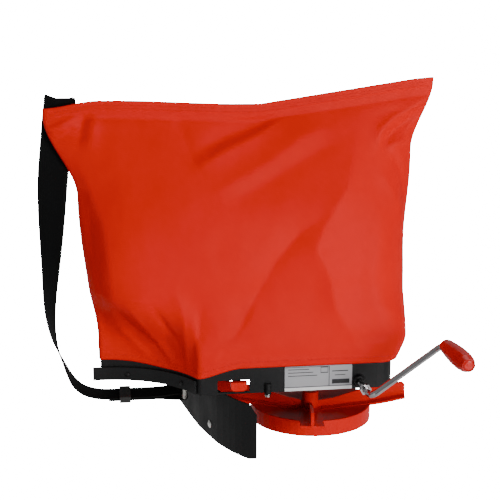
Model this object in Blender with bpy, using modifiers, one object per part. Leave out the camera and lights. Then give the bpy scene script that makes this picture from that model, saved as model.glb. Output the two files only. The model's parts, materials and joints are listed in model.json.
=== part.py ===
"""Shoulder-carried hand-crank garden spreader, modelled as separate pieces.

Units are metres, +Z is up.  Inside the script every place is given from the impeller's axis at the
drum's lower rim (+X towards the crank's side, -Y towards the person).  The root empty moves the whole
object so that the world origin is the crest of the shoulder strap, which is what the spreader hangs by.
"""
import math

import bmesh
import bpy
from mathutils import Matrix, Vector

MM = 0.001

# ---- driving dimensions ----
CLEAR = 0.35 * MM                 # gap between pieces that touch

TRAY_LEFT = 273 * MM              # left end, measured from the impeller's axis
TRAY_RIGHT = 93 * MM
TRAY_HALF_DEPTH = 76 * MM
TRAY_BOTTOM = 60 * MM
TRAY_TOP = 112 * MM
TRAY_WALL = 2.6 * MM
TRAY_LEDGE = 0.8 * MM             # width of the ledge that carries the floor
TRAY_LEDGE_DEPTH = 2 * MM
TRAY_TIP_R = TRAY_WALL + TRAY_LEDGE + 0.1 * MM    # where the hollow meets the wall
FLOOR_Z = 100 * MM                # underside of the hopper's floor
FLOOR_THICK = 3 * MM
RIGHT_CORNER_R = 24 * MM
BACK_CORNER_R = 20 * MM
BELLY_R = 128 * MM                # hollow that fits the person's side
BELLY_X = -271 * MM
BELLY_Y = -50 * MM                # centre of the hollow, measured from the front wall
BELLY_BAND = 3 * MM
BELLY_BAND_HEIGHT = 17 * MM
BELLY_BAND_REACH = 10 * MM        # how far the band runs past the tray's left end
BOSS_X = -69 * MM                 # screw boss on the front wall
BOSS_Y = -TRAY_HALF_DEPTH - 0.8 * MM

BAG_TOP_LEFT = 333 * MM
BAG_TOP_RIGHT = 154 * MM
BAG_TOP_Z = 411 * MM
BAG_TOP_RISE = 29 * MM            # the right corner stands this much higher
BAG_SLOPE_LENGTH = 190 * MM       # length of the straight slope that makes the rise
BAG_LEFT_HUMP_END = -120 * MM     # the left hump never reaches past here
BAG_LOW_EDGE_Z = 93 * MM
BAG_LOW_EDGE_DIP = 12 * MM        # over the front corner and along the belly hollow
BAG_FABRIC = 1.6 * MM
BAG_NARROWING = 8 * MM            # from the tray to the bag above it, on each side
BAG_HALF_DEPTH = TRAY_HALF_DEPTH - BAG_NARROWING
BAG_SECTION_SHARE = 0.3           # above this share of its height the bag no longer follows the tray
BAG_FOOT = 21.45 * MM             # height over which the bag keeps the tray's plan
BAG_FOOT_SHARE = BAG_FOOT / (BAG_TOP_Z - BAG_LOW_EDGE_Z + BAG_LOW_EDGE_DIP)
BAG_BAND = 20.67 * MM             # height of the flat band at the top
BAG_BAND_SHARE = 1 - BAG_BAND / (BAG_TOP_Z - BAG_LOW_EDGE_Z)
BAG_CLOSING_SHARE = BAG_BAND_SHARE - 0.055    # the panels bend in to the band from here
BAG_HEM_GAP = 3 * MM              # half the gap between the two panels at the top
BAG_SEAM = 0.002                  # share of a panel's width that each panel stops short of the side seam
ZIP_DROP = 12 * MM                # below the bag's upper edge
ZIP_HALF = 105 * MM
ZIP_TRAVEL = 160 * MM
ZIP_PULL = 15 * MM

CRANK_X = 45.6 * MM
CRANK_Z = 70.5 * MM
CRANK_ROD_R = 4 * MM
CRANK_REACH = 137 * MM            # from the impeller's axis to the middle of the arm
CRANK_ARM = 107 * MM
CRANK_ARM_ANGLE = math.radians(35)
CRANK_BEND_R = 9 * MM
CRANK_NUT_Y = 110 * MM
CRANK_BUSH_R = 6.5 * MM
GRIP_LENGTH = 84 * MM
GRIP_R = 11.5 * MM

CRANK_TEETH = 18
COUNTER_BEVEL_TEETH = 12
BEVEL_MODULE = 1.3 * MM
BEVEL_FACE = 0.4                  # share of the cone distance that carries teeth
COUNTER_SPUR_TEETH = 48
IMPELLER_TEETH = 14
SPUR_FACE = 8 * MM
PRESSURE_ANGLE = math.radians(25)
TOOTH_ADDENDUM = 0.75             # in modules
TOOTH_DEDENDUM = 1.0
TOOTH_BACKLASH = 0.09             # share of the pitch left free
SPUR_MODULE = 2 * CRANK_X / (COUNTER_SPUR_TEETH + IMPELLER_TEETH)
SPUR_LOW = CRANK_Z + CRANK_TEETH * BEVEL_MODULE / 2 + 6.8 * MM

IMPELLER_SHAFT_R = 4 * MM
COUNTER_SHAFT_R = 3 * MM

DRUM_R = 79 * MM
DRUM_HEIGHT = 19 * MM
DRUM_WALL = 2.4 * MM
HUB_R = 10.6 * MM
HUB_TOP = 33 * MM
HUB_BOTTOM = 8.5 * MM
VANE_COUNT = 4
VANE_R = 124 * MM
VANE_WEB = 4 * MM
VANE_FOOT = 29 * MM
VANE_FOOT_THICK = 3.4 * MM
VANE_ANGLE = math.radians(-100)   # direction of the vane nearest the person
AGITATOR_Z = 116 * MM
AGITATOR_REACH = 27 * MM

CASE_LEFT = 28 * MM               # gear case
CASE_RIGHT = 89 * MM
CASE_HALF_DEPTH = 42 * MM
CASE_WALL = 4 * MM
CASE_LEFT_WALL = 12 * MM
CASE_RIGHT_WALL = 5.5 * MM
CASE_BOTTOM = 56 * MM
COVER_THICK = 3 * MM

OUTLET_LEFT = 48 * MM
OUTLET_RIGHT = 34.5 * MM
OUTLET_HALF_WIDTH = 18 * MM
GATE_Z = 69 * MM                  # underside of the sliding gate
GATE_THICK = 2 * MM
GATE_TRAVEL = 15 * MM
LEVER_X = -105 * MM
LEVER_WIDTH = 20 * MM
LEVER_HEIGHT = 11.5 * MM

SHIELD_THICK = 1.8 * MM
SHIELD_BOTTOM = -12 * MM
SHIELD_TOP = 58 * MM

STRAP_WIDTH = 38 * MM
STRAP_THICK = 1.8 * MM
STRAP_RUN_Z = 39.4 * MM           # middle of the two lower layers
BAIL_R = 3 * MM
REAR_BAIL_REACH = 16 * MM          # behind the tray
FRONT_BAIL = Vector((-168 * MM, 0, STRAP_RUN_Z))
REAR_BAIL = Vector((-200 * MM, TRAY_HALF_DEPTH + REAR_BAIL_REACH, 72 * MM))
CREST = Vector((-312.8 * MM, 15.2 * MM, 412.6 * MM))   # where the strap turns over the shoulder
CREST_R = 3.6 * MM
STRAP_SLIDE_X = -243 * MM

LABEL_LEFT = 48 * MM
LABEL_RIGHT = 37 * MM
LABEL_HEIGHT = 31.5 * MM
LABEL_THICK = 0.8 * MM

SCREW_R = 1.8 * MM
SCREW_HEAD_R = 3.8 * MM

# ---- colours ----
BLACK = ((0.012, 0.012, 0.013), 0.5, 0.0)
FABRIC = ((0.62, 0.031, 0.013), 0.62, 0.0)
ORANGE = ((0.56, 0.038, 0.012), 0.35, 0.0)
RED_ORANGE = ((0.5, 0.028, 0.012), 0.25, 0.0)
WEBBING = ((0.005, 0.005, 0.005), 0.85, 0.0)
STEEL = ((0.45, 0.44, 0.42), 0.32, 1.0)
CHROME = ((0.62, 0.61, 0.6), 0.12, 1.0)
BRASS = ((0.5, 0.36, 0.14), 0.35, 1.0)
WHITE = ((0.7, 0.69, 0.66), 0.5, 0.0)
LABEL_GREY = ((0.42, 0.42, 0.43), 0.4, 0.0)


def clear_scene():
    for item in list(bpy.data.objects):
        bpy.data.objects.remove(item, do_unlink=True)


def make_collection(name):
    collection = bpy.data.collections.new(name)
    bpy.context.scene.collection.children.link(collection)
    return collection


def material_for(name, finish):
    colour, roughness, metallic = finish
    material = bpy.data.materials.new(name)
    material.use_nodes = True
    shader = material.node_tree.nodes["Principled BSDF"]
    shader.inputs["Base Color"].default_value = (*colour, 1)
    shader.inputs["Roughness"].default_value = roughness
    shader.inputs["Metallic"].default_value = metallic
    material.diffuse_color = (*colour, 1)
    return material


def smooth(low, high, value):
    share = min(max((value - low) / (high - low), 0), 1)
    return share * share * (3 - 2 * share)


# ---- object helpers ----
def finish_part(item, finish, place=(0, 0, 0), parent=None, angle=None):
    """Put a piece in the spreader's collection with its own material."""
    for collection in list(item.users_collection):
        collection.objects.unlink(item)
    PARTS.objects.link(item)
    item.data.materials.clear()
    item.data.materials.append(material_for(item.name, finish))
    item.parent = parent or ROOT
    item.location = place
    if angle is not None:
        item.data.shade_smooth()
        item.data.set_sharp_from_angle(angle=math.radians(angle))
    return item


def mesh_from_curve(item):
    """Turn a curve object into a mesh object with its caps welded."""
    graph = bpy.context.evaluated_depsgraph_get()
    mesh = bpy.data.meshes.new_from_object(item.evaluated_get(graph))
    sheet = bmesh.new()
    sheet.from_mesh(mesh)
    bmesh.ops.remove_doubles(sheet, verts=sheet.verts, dist=1e-6)
    sheet.to_mesh(mesh)
    sheet.free()
    solid = bpy.data.objects.new(item.name, mesh)
    solid.matrix_world = item.matrix_world
    name = item.name
    bpy.data.objects.remove(item, do_unlink=True)
    solid.name = name
    bpy.context.scene.collection.objects.link(solid)
    return solid


def plate(name, outlines, low, high):
    """Flat plate between two heights; the later outlines are holes."""
    curve = bpy.data.curves.new(name, "CURVE")
    curve.dimensions = "2D"
    curve.fill_mode = "BOTH"
    curve.extrude = (high - low) / 2
    for outline in outlines:
        spline = curve.splines.new("POLY")
        spline.points.add(len(outline) - 1)
        for point, (x, y) in zip(spline.points, outline):
            point.co = (x, y, 0, 1)
        spline.use_cyclic_u = True
    item = bpy.data.objects.new(name, curve)
    bpy.context.scene.collection.objects.link(item)
    bpy.context.view_layer.update()
    solid = mesh_from_curve(item)
    solid.data.transform(Matrix.Translation((0, 0, (low + high) / 2)))
    return solid


def upright_plate(name, outlines, front, back):
    """Plate in the XZ plane between two depths; outlines are (x, z) points."""
    solid = plate(name, outlines, -back, -front)
    solid.data.transform(Matrix.Rotation(math.pi / 2, 4, "X"))
    return solid


def circle(x, y, radius, count=24, start=0.0):
    turn = 2 * math.pi / count
    return [(x + radius * math.cos(start + k * turn), y + radius * math.sin(start + k * turn))
            for k in range(count)]


def rectangle(left, right, low, high, radius=0.0, steps=4):
    """Counter-clockwise rectangle, with rounded corners where a radius is given."""
    if radius == 0:
        return [(left, low), (right, low), (right, high), (left, high)]
    centres = [(right - radius, high - radius), (left + radius, high - radius),
               (left + radius, low + radius), (right - radius, low + radius)]
    points = []
    for number, (x, y) in enumerate(centres):
        for step in range(steps + 1):
            angle = math.pi / 2 * (number + step / steps)
            points.append((x + radius * math.cos(angle), y + radius * math.sin(angle)))
    return points


def turned(name, profile, count=32, closed=False):
    """Turned piece about its own Z; the profile runs down the outer side, top to bottom."""
    mesh = bpy.data.meshes.new(name)
    edges = [(k, k + 1) for k in range(len(profile) - 1)]
    if closed:
        edges.append((len(profile) - 1, 0))
    mesh.from_pydata([(radius, 0, height) for radius, height in profile], edges, [])
    item = bpy.data.objects.new(name, mesh)
    screw = item.modifiers.new("Turn", "SCREW")
    screw.axis = "Z"
    screw.steps = count
    screw.render_steps = count
    screw.use_merge_vertices = True
    screw.merge_threshold = 1e-6
    screw.use_smooth_shade = False
    bpy.context.scene.collection.objects.link(item)
    return item


def ring(name, inner, outer, low, high, count=32):
    """Plain bush or washer."""
    return turned(name, [(inner, high), (outer, high), (outer, low), (inner, low)], count, closed=True)


def wire(name, points, radius, resolution=2):
    """Round bar through the points, with filled ends, as a welded mesh."""
    curve = bpy.data.curves.new(name, "CURVE")
    curve.dimensions = "3D"
    curve.bevel_depth = radius
    curve.bevel_resolution = resolution
    curve.use_fill_caps = True
    spline = curve.splines.new("POLY")
    spline.points.add(len(points) - 1)
    for point, place in zip(spline.points, points):
        point.co = (*place, 1)
    item = bpy.data.objects.new(name, curve)
    bpy.context.scene.collection.objects.link(item)
    bpy.context.view_layer.update()
    return mesh_from_curve(item)


def bent(points, radius, steps=6):
    """Polyline with each inner corner replaced by an arc of the given radius."""
    path = [Vector(points[0])]
    for before, corner, after in zip(points, points[1:], points[2:]):
        before, corner, after = Vector(before), Vector(corner), Vector(after)
        first = (before - corner).normalized()
        second = (after - corner).normalized()
        half = first.angle(second) / 2
        centre = corner + (first + second).normalized() * radius / math.sin(half)
        start = corner + first * radius / math.tan(half) - centre
        end = corner + second * radius / math.tan(half) - centre
        axis = start.cross(end)
        for step in range(steps + 1):
            path.append(centre + Matrix.Rotation(start.angle(end) * step / steps, 3, axis) @ start)
    path.append(Vector(points[-1]))
    return path


def through(points, steps):
    """Smooth curve through hand-chosen points."""
    points = [Vector(point) for point in points]
    ends = [points[0] * 2 - points[1]] + points + [points[-1] * 2 - points[-2]]
    path = []
    for a, b, c, d in zip(ends, ends[1:], ends[2:], ends[3:]):
        for step in range(steps):
            t = step / steps
            path.append(0.5 * (2 * b + (c - a) * t + (2 * a - 5 * b + 4 * c - d) * t * t
                               + (3 * b - a - 3 * c + d) * t * t * t))
    path.append(points[-1])
    return path


def as_mesh(item):
    """Apply an object's modifiers, so that it can take part in a Boolean."""
    bpy.context.view_layer.update()
    graph = bpy.context.evaluated_depsgraph_get()
    mesh = bpy.data.meshes.new_from_object(item.evaluated_get(graph))
    item.modifiers.clear()
    item.data = mesh
    return item


def boolean(item, tool, operation):
    """Join or cut with a tool that is kept, hidden, among the cutters."""
    if tool.name not in CUTTERS.objects:
        for collection in list(tool.users_collection):
            collection.objects.unlink(tool)
        CUTTERS.objects.link(tool)
        tool.hide_render = True
        tool.display_type = "WIRE"
        tool.parent = ROOT
    change = item.modifiers.new(tool.name, "BOOLEAN")
    change.operation = operation
    change.solver = "EXACT"
    change.object = tool


# ---- tray ----
def fillet(outline, index, radius, steps=4):
    """Round one corner of an outline."""
    before = Vector(outline[index - 1])
    corner = Vector(outline[index])
    after = Vector(outline[(index + 1) % len(outline)])
    arc = bent([(*before, 0), (*corner, 0), (*after, 0)], radius, steps)[1:-1]
    return outline[:index] + [(point.x, point.y) for point in arc] + outline[index + 1:]


def belly_centre():
    return BELLY_X, -TRAY_HALF_DEPTH + BELLY_Y


def belly_angles():
    """Angles where the hollow meets the front wall and the left end."""
    x, y = belly_centre()
    at_front = math.asin((-TRAY_HALF_DEPTH - y) / BELLY_R)
    at_left = math.acos((-TRAY_LEFT - x) / BELLY_R)
    return at_front, at_left


def tray_outline(offset=0.0):
    """Counter-clockwise plan of the tray's wall, moved outwards by the offset."""
    cx, cy = belly_centre()
    at_front, at_left = belly_angles()
    arc_steps = 18
    hollow = []
    for step in range(arc_steps + 1):
        angle = at_left + (at_front - at_left) * step / arc_steps
        hollow.append((cx + BELLY_R * math.cos(angle), cy + BELLY_R * math.sin(angle)))
    outline = hollow + [(TRAY_RIGHT, -TRAY_HALF_DEPTH), (TRAY_RIGHT, TRAY_HALF_DEPTH),
                        (-TRAY_LEFT, TRAY_HALF_DEPTH)]
    last = len(outline) - 1
    outline = fillet(outline, last, BACK_CORNER_R)
    outline = fillet(outline, last - 1, RIGHT_CORNER_R)
    outline = fillet(outline, last - 2, RIGHT_CORNER_R)
    outline = fillet(outline, arc_steps, TRAY_TIP_R)
    outline = fillet(outline, 0, TRAY_TIP_R)
    return moved_outwards(outline, offset)


def moved_outwards(outline, offset):
    """Offset a counter-clockwise outline along its mitred normals."""
    result = []
    count = len(outline)
    for k in range(count):
        before = Vector(outline[k - 1])
        here = Vector(outline[k])
        after = Vector(outline[(k + 1) % count])
        first = (here - before).normalized()
        second = (after - here).normalized()
        normal_a = Vector((first.y, -first.x))
        normal_b = Vector((second.y, -second.x))
        middle = (normal_a + normal_b).normalized()
        point = here + middle * offset / max(middle.dot(normal_a), 0.5)
        result.append((point.x, point.y))
    return result


def lever_slot():
    return rectangle(LEVER_X - LEVER_WIDTH / 2 - GATE_TRAVEL - 1.0 * MM,
                     LEVER_X + LEVER_WIDTH / 2 + 3.5 * MM,
                     TRAY_BOTTOM + 2.5 * MM, GATE_Z + GATE_THICK + 6.5 * MM)


def case_screw_places():
    left = -CASE_LEFT + CASE_LEFT_WALL / 2
    right = CASE_RIGHT - CASE_RIGHT_WALL / 2
    depth = CASE_HALF_DEPTH - 8 * MM
    return [(left, -depth), (right, -depth), (right, depth), (left, depth)]


def make_tray():
    """Black tray: an outer wall with an inner ledge under the hopper's floor."""
    tray = plate("hopper_tray", [tray_outline()], TRAY_BOTTOM, TRAY_TOP)
    margin = 5 * MM
    inside = tray_outline(-TRAY_WALL)
    ledge_top = FLOOR_Z - CLEAR
    upper = plate("tray_upper_pocket", [inside], ledge_top, TRAY_TOP + margin)
    middle = plate("tray_ledge_pocket", [tray_outline(-TRAY_WALL - TRAY_LEDGE)],
                   ledge_top - TRAY_LEDGE_DEPTH - margin, ledge_top + margin)
    lower = plate("tray_lower_pocket", [inside], TRAY_BOTTOM - margin, ledge_top - TRAY_LEDGE_DEPTH)
    for tool in (upper, middle, lower):
        boolean(tray, tool, "DIFFERENCE")
    boss = plate("tray_boss", [circle(BOSS_X, BOSS_Y, 4.2 * MM, 16)],
                 TRAY_BOTTOM - 2 * MM, TRAY_BOTTOM + 12 * MM)
    boolean(tray, boss, "UNION")
    front = -TRAY_HALF_DEPTH
    slot = upright_plate("lever_slot_cut", [lever_slot()], front - margin, front + margin)
    bush_hole = upright_plate("crank_hole_cut", [circle(CRANK_X, CRANK_Z, CRANK_BUSH_R + CLEAR)],
                              front - margin, front + margin)
    screw_hole = plate("boss_hole_cut", [circle(BOSS_X, BOSS_Y, SCREW_R + CLEAR, 12)],
                       TRAY_BOTTOM - margin, TRAY_BOTTOM + 9 * MM)
    for tool in (slot, bush_hole, screw_hole):
        boolean(tray, tool, "DIFFERENCE")
    finish_part(tray, BLACK)


def make_floor():
    """Hopper's floor, which lies on the tray's ledge and carries the gear case."""
    holes = [circle(0, 0, IMPELLER_SHAFT_R + 4 * MM + CLEAR),
             rectangle(-OUTLET_LEFT, -OUTLET_RIGHT, -OUTLET_HALF_WIDTH, OUTLET_HALF_WIDTH),
             circle(CRANK_X, 0, COUNTER_SHAFT_R + 3 * MM + CLEAR)]
    holes += [circle(x, y, SCREW_R + CLEAR, 12) for x, y in case_screw_places()]
    outlines = [tray_outline(-TRAY_WALL - CLEAR)] + [hole[::-1] for hole in holes]
    floor = plate("hopper_floor", outlines, FLOOR_Z, FLOOR_Z + FLOOR_THICK)
    finish_part(floor, BLACK)


def make_belly_rest():
    """Curved band that lies against the person, on the hollow's wall."""
    cx, cy = belly_centre()
    at_front, at_left = belly_angles()
    outer = BELLY_R - CLEAR
    inner = outer - BELLY_BAND
    first = at_front + math.radians(3)
    steps = 20
    ends = []
    for radius in (outer, inner):
        row = []
        for step in range(steps + 1):
            angle = first + (at_left - first) * step / steps
            row.append((cx + radius * math.cos(angle), cy + radius * math.sin(angle)))
        ends.append(row)
    tangent = Vector((-math.sin(at_left), math.cos(at_left)))
    tips = [Vector(row[-1]) + tangent * BELLY_BAND_REACH for row in ends]
    outline = ends[1] + [tuple(tips[1]), tuple(tips[0])] + ends[0][::-1]
    band = plate("belly_rest", [outline], TRAY_BOTTOM, TRAY_BOTTOM + BELLY_BAND_HEIGHT)
    finish_part(band, BLACK)
    middle = (at_front + at_left) / 2
    spread = math.radians(18.3)
    rivet_profile = [(0, 2.4 * MM), (3 * MM, 1.0 * MM), (3 * MM, 0.0), (0, 0)]
    for number, angle in enumerate((middle - spread, middle + spread), 1):
        rivet = turned(f"belly_rivet_{number}", rivet_profile, 16)
        rivet.rotation_euler = (0, math.pi / 2, angle + math.pi)
        reach = inner - CLEAR
        finish_part(rivet, BLACK, (cx + reach * math.cos(angle), cy + reach * math.sin(angle),
                                   TRAY_BOTTOM + BELLY_BAND_HEIGHT * 0.45))


# ---- bag ----
def bag_top_height(x):
    """Upper edge of the bag: a shallow hump at the left, a straight slope, then a level corner."""
    left = BAG_TOP_Z + 3 * MM
    left -= 9 * MM * smooth(-BAG_TOP_LEFT + 68 * MM, -BAG_TOP_LEFT, x)
    left -= 5 * MM * smooth(-250 * MM, -90 * MM, x)
    slope = BAG_TOP_RISE / BAG_SLOPE_LENGTH
    corner = BAG_TOP_RIGHT - 24 * MM
    straight = BAG_TOP_Z - 4 * MM + slope * (min(x, corner) + 80 * MM)
    straight += 0.6 * slope * max(x - corner, 0)
    return max(left, straight) if x > BAG_LEFT_HUMP_END else left


def bag_bottom_height(x, y):
    """Lower edge of the bag, which dips over the front corner and along the belly hollow."""
    dip = smooth(-100 * MM, -160 * MM, x) * smooth(30 * MM, -30 * MM, y)
    return BAG_LOW_EDGE_Z - BAG_LOW_EDGE_DIP * dip


def bag_width(share):
    """Left and right reach of the bag at a share of its height."""
    left = -(TRAY_LEFT + 6 * MM) - 16 * MM * smooth(0.05, 0.65, share)
    left -= (BAG_TOP_LEFT - TRAY_LEFT - 22 * MM) * smooth(0.66, 0.97, share)
    right = TRAY_RIGHT + 26 * MM * smooth(-0.05, 0.08, share) + 8 * MM * smooth(0.35, 0.7, share)
    right += (BAG_TOP_RIGHT - TRAY_RIGHT - 34 * MM) * smooth(0.74, 0.99, share)
    return left, right


def along(path, share):
    """Point at a share of an open path's length."""
    lengths = [0.0]
    for a, b in zip(path, path[1:]):
        lengths.append(lengths[-1] + (Vector(b) - Vector(a)).length)
    target = share * lengths[-1]
    for k in range(1, len(path)):
        if lengths[k] >= target or k == len(path) - 1:
            span = max(lengths[k] - lengths[k - 1], 1e-9)
            part = (target - lengths[k - 1]) / span
            return Vector(path[k - 1]).lerp(Vector(path[k]), min(max(part, 0), 1))


def nearest(outline, x, y):
    """Number of the outline's point that lies nearest to a place."""
    return min(range(len(outline)), key=lambda k: math.hypot(outline[k][0] - x, outline[k][1] - y))


def outline_sides(offset):
    """The tray's outline as two paths from its left end to its right end: front and back."""
    outline = tray_outline(offset)
    left = nearest(outline, -TRAY_LEFT - offset, 30 * MM)
    outline = outline[left:] + outline[:left]
    right = nearest(outline, TRAY_RIGHT, 40 * MM)
    middle_right = (TRAY_RIGHT + offset, 0.0)
    front = outline[:right] + [middle_right]
    back = [outline[0]] + outline[:right - 1:-1] + [middle_right]
    return front, back


def stadium_point(left, right, depth, share, side):
    """Point on the front or back half of a round-ended section, at a share of its length."""
    radius = depth / 2
    flat = max(right - left - depth, 0)
    arc = math.pi * radius / 2
    total = flat + 2 * arc
    place = share * total
    if place < arc:
        angle = place / max(radius, 1e-6)
        x, y = left + radius - radius * math.cos(angle), radius * math.sin(angle)
    elif place < arc + flat:
        x, y = left + radius + place - arc, radius
    else:
        angle = (total - place) / max(radius, 1e-6)
        x, y = right - radius + radius * math.cos(angle), radius * math.sin(angle)
    return Vector((x, side * y))


def bag_half_depth(share):
    """Half the bag's thickness: full over the tray, closing to the flat band at the top."""
    band = BAG_HEM_GAP + BAG_FABRIC / 2
    closing = min(max((share - BAG_SECTION_SHARE) / (BAG_BAND_SHARE - BAG_SECTION_SHARE), 0), 1)
    return band + (BAG_HALF_DEPTH - band) * math.cos(math.pi / 2 * closing)


def lens_point(left, right, half_depth, share, side):
    """Point of a section with thin ends, as fabric has towards a flat seam."""
    reach = abs(2 * share - 1)
    return Vector((left + (right - left) * share, side * half_depth * (1 - reach ** 4) ** 0.8))


def bag_point(share, along_share, side, sides):
    """Point of the bag's fabric: the tray's plan below, a flat band at the top."""
    left, right = bag_width(share)
    half_depth = bag_half_depth(share)
    round_point = stadium_point(left, right, 2 * half_depth, along_share, side)
    thin_point = lens_point(left, right, half_depth, along_share, side)
    closing = smooth(BAG_CLOSING_SHARE, BAG_BAND_SHARE, share)
    thinness = smooth(BAG_SECTION_SHARE, 0.72, share) * (1 - closing)
    round_point = round_point.lerp(thin_point, thinness)
    base = along(sides[0] if side < 0 else sides[1], along_share)
    base.x += (right - TRAY_RIGHT) * smooth(0.72, 1.0, along_share)
    point = base.lerp(round_point, smooth(BAG_FOOT_SHARE, BAG_SECTION_SHARE, share))
    top = stadium_point(-BAG_TOP_LEFT, BAG_TOP_RIGHT, 2 * BAG_HEM_GAP, along_share, side)
    low = bag_bottom_height(base.x, base.y)
    high = bag_top_height(top.x)
    return Vector((point.x, point.y, low + (high - low) * share))


def column_shares(path):
    """Shares of a path's length for the fabric's columns: every corner point, and an even spread between."""
    lengths = [0.0]
    for a, b in zip(path, path[1:]):
        lengths.append(lengths[-1] + (Vector(b) - Vector(a)).length)
    corners = [length / lengths[-1] for length in lengths]
    chosen = [corners[0]]
    for share in corners[1:]:
        if share - chosen[-1] > 0.006 or share == corners[-1]:
            extra = int((share - chosen[-1]) / 0.045)
            start = chosen[-1]
            chosen += [start + (share - start) * k / (extra + 1) for k in range(1, extra + 1)]
            chosen.append(share)
    return chosen


def make_bag():
    """Fabric hopper in two panels: they follow the tray below and close to a flat band above."""
    offset = CLEAR + 0.6 * MM + BAG_FABRIC / 2
    sides = outline_sides(offset)
    shares = [0, BAG_FOOT_SHARE, 0.13, 0.22, 0.36, 0.52, 0.66, 0.75, 0.82, BAG_CLOSING_SHARE, BAG_BAND_SHARE, 1]
    for name, side, path in (("bag_front", -1, sides[0]), ("bag_back", 1, sides[1])):
        columns = [min(max(share, BAG_SEAM), 1 - BAG_SEAM) for share in column_shares(path)]
        sheet = bmesh.new()
        grid = []
        for share in shares:
            row = [bag_point(share, column, side, sides) for column in columns]
            if share > BAG_SECTION_SHARE:
                for point in row:
                    point.y = side * max(abs(point.y), BAG_FABRIC / 2 + CLEAR)
            grid.append([sheet.verts.new(point) for point in row])
        for low, high in zip(grid, grid[1:]):
            for k in range(len(columns) - 1):
                sheet.faces.new((low[k], low[k + 1], high[k + 1], high[k]))
        mesh = bpy.data.meshes.new(name)
        sheet.to_mesh(mesh)
        sheet.free()
        panel = bpy.data.objects.new(name, mesh)
        shell = panel.modifiers.new("Fabric", "SOLIDIFY")
        shell.thickness = BAG_FABRIC
        shell.offset = 0
        finish_part(panel, FABRIC, angle=60)


def hem_frame():
    """The zip's place on the straight stretch of the top band: a point, its direction and its slope."""
    slope = math.atan(BAG_TOP_RISE / BAG_SLOPE_LENGTH)
    direction = Vector((math.cos(slope), 0, math.sin(slope)))
    up = Vector((-math.sin(slope), 0, math.cos(slope)))
    x = 25 * MM
    place = Vector((x, 0, bag_top_height(x))) - up * ZIP_DROP
    return place, direction, slope


def make_zip():
    """Zip on the back of the top band: tape, chain, stops, slider and pull."""
    place, direction, slope = hem_frame()
    face = BAG_HEM_GAP + BAG_FABRIC + 2 * CLEAR
    turn = Matrix.Rotation(-slope, 4, "Y")

    def put(item, finish, along_zip):
        item.data.transform(turn)
        finish_part(item, finish, place + direction * along_zip)

    tape = upright_plate("zip_tape", [rectangle(-ZIP_HALF, ZIP_HALF, -8 * MM, 8 * MM)],
                         face, face + 0.8 * MM)
    put(tape, WEBBING, 0)
    chain_front = face + 0.8 * MM + CLEAR
    end_gap = 4 * MM
    chain_half = ZIP_HALF - end_gap
    chain = upright_plate("zip_chain", [rectangle(-chain_half, chain_half, -2 * MM, 2 * MM)],
                          chain_front, chain_front + 1.6 * MM)
    put(chain, WEBBING, 0)
    for name, end in (("zip_stop_left", -1), ("zip_stop_right", 1)):
        stop = upright_plate(name, [rectangle(-1.4 * MM, 1.4 * MM, -4 * MM, 4 * MM)],
                             chain_front, chain_front + 2.2 * MM)
        put(stop, STEEL, end * (chain_half + CLEAR + 1.4 * MM))
    slider_front = chain_front + 1.6 * MM + CLEAR
    slider_at = ZIP_TRAVEL / 2
    body = [(-6 * MM, -3.2 * MM), (4 * MM, -4.4 * MM), (6.5 * MM, -3 * MM),
            (6.5 * MM, 3 * MM), (4 * MM, 4.4 * MM), (-6 * MM, 3.2 * MM)]
    slider = upright_plate("zip_slider", [body], slider_front, slider_front + 2.4 * MM)
    put(slider, STEEL, slider_at)
    pull_front = slider_front + 2.4 * MM + CLEAR
    outline = rectangle(-3.5 * MM, 3.5 * MM, -ZIP_PULL, 0, 2.4 * MM)
    pull = upright_plate("zip_pull", [outline, circle(0, -4 * MM, 1.6 * MM, 12)[::-1]],
                         pull_front, pull_front + 1.4 * MM)
    put(pull, WEBBING, slider_at)


# ---- gearing ----
def involute(angle):
    return math.tan(angle) - angle


def half_tooth(radius, pitch_radius, teeth):
    """Half the tooth's thickness at a radius, for an involute tooth."""
    base = pitch_radius * math.cos(PRESSURE_ANGLE)
    at = math.acos(base / radius) if radius > base else 0.0
    share = math.pi / (2 * teeth) * (1 - TOOTH_BACKLASH)
    return share + involute(PRESSURE_ANGLE) - involute(at)


def spur_outline(teeth, module, start):
    """Outline of a spur gear with a tooth centred on the start angle."""
    pitch_radius = teeth * module / 2
    base = pitch_radius * math.cos(PRESSURE_ANGLE)
    root = pitch_radius - TOOTH_DEDENDUM * module
    tip = pitch_radius + TOOTH_ADDENDUM * module
    radii = [root, max(base, root + 0.05 * module), pitch_radius, tip]
    halves = [half_tooth(radius, pitch_radius, teeth) for radius in radii]
    points = []
    for k in range(teeth):
        middle = start + 2 * math.pi * k / teeth
        flank = [(radius, middle - half) for radius, half in zip(radii, halves)]
        flank += [(radius, middle + half) for radius, half in zip(radii[::-1], halves[::-1])]
        points += [(radius * math.cos(angle), radius * math.sin(angle)) for radius, angle in flank]
    return points


def bevel_outline(teeth, mate_teeth, module, start):
    """Outline of a bevel gear at its large end, with the teeth worked out on the back cone."""
    pitch_radius = teeth * module / 2
    apex = mate_teeth * module / 2
    cone = math.atan2(pitch_radius, apex)
    distance = math.hypot(pitch_radius, apex)
    back_radius = pitch_radius / math.cos(cone)
    back_teeth = teeth / math.cos(cone)
    base = back_radius * math.cos(PRESSURE_ANGLE)
    root = back_radius - TOOTH_DEDENDUM * module
    heights = [root, max(base, root + 0.05 * module), back_radius, back_radius + TOOTH_ADDENDUM * module]
    flank = []
    for radius in heights:
        angle = cone + (radius - back_radius) / distance
        thickness = radius * half_tooth(radius, back_radius, back_teeth)
        flank.append((apex * math.tan(angle), thickness / (distance * math.sin(angle))))
    points = []
    for k in range(teeth):
        middle = start + 2 * math.pi * k / teeth
        for radius, half in flank:
            points.append((radius * math.cos(middle - half), radius * math.sin(middle - half)))
        for radius, half in flank[::-1]:
            points.append((radius * math.cos(middle + half), radius * math.sin(middle + half)))
    return points, apex


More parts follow.
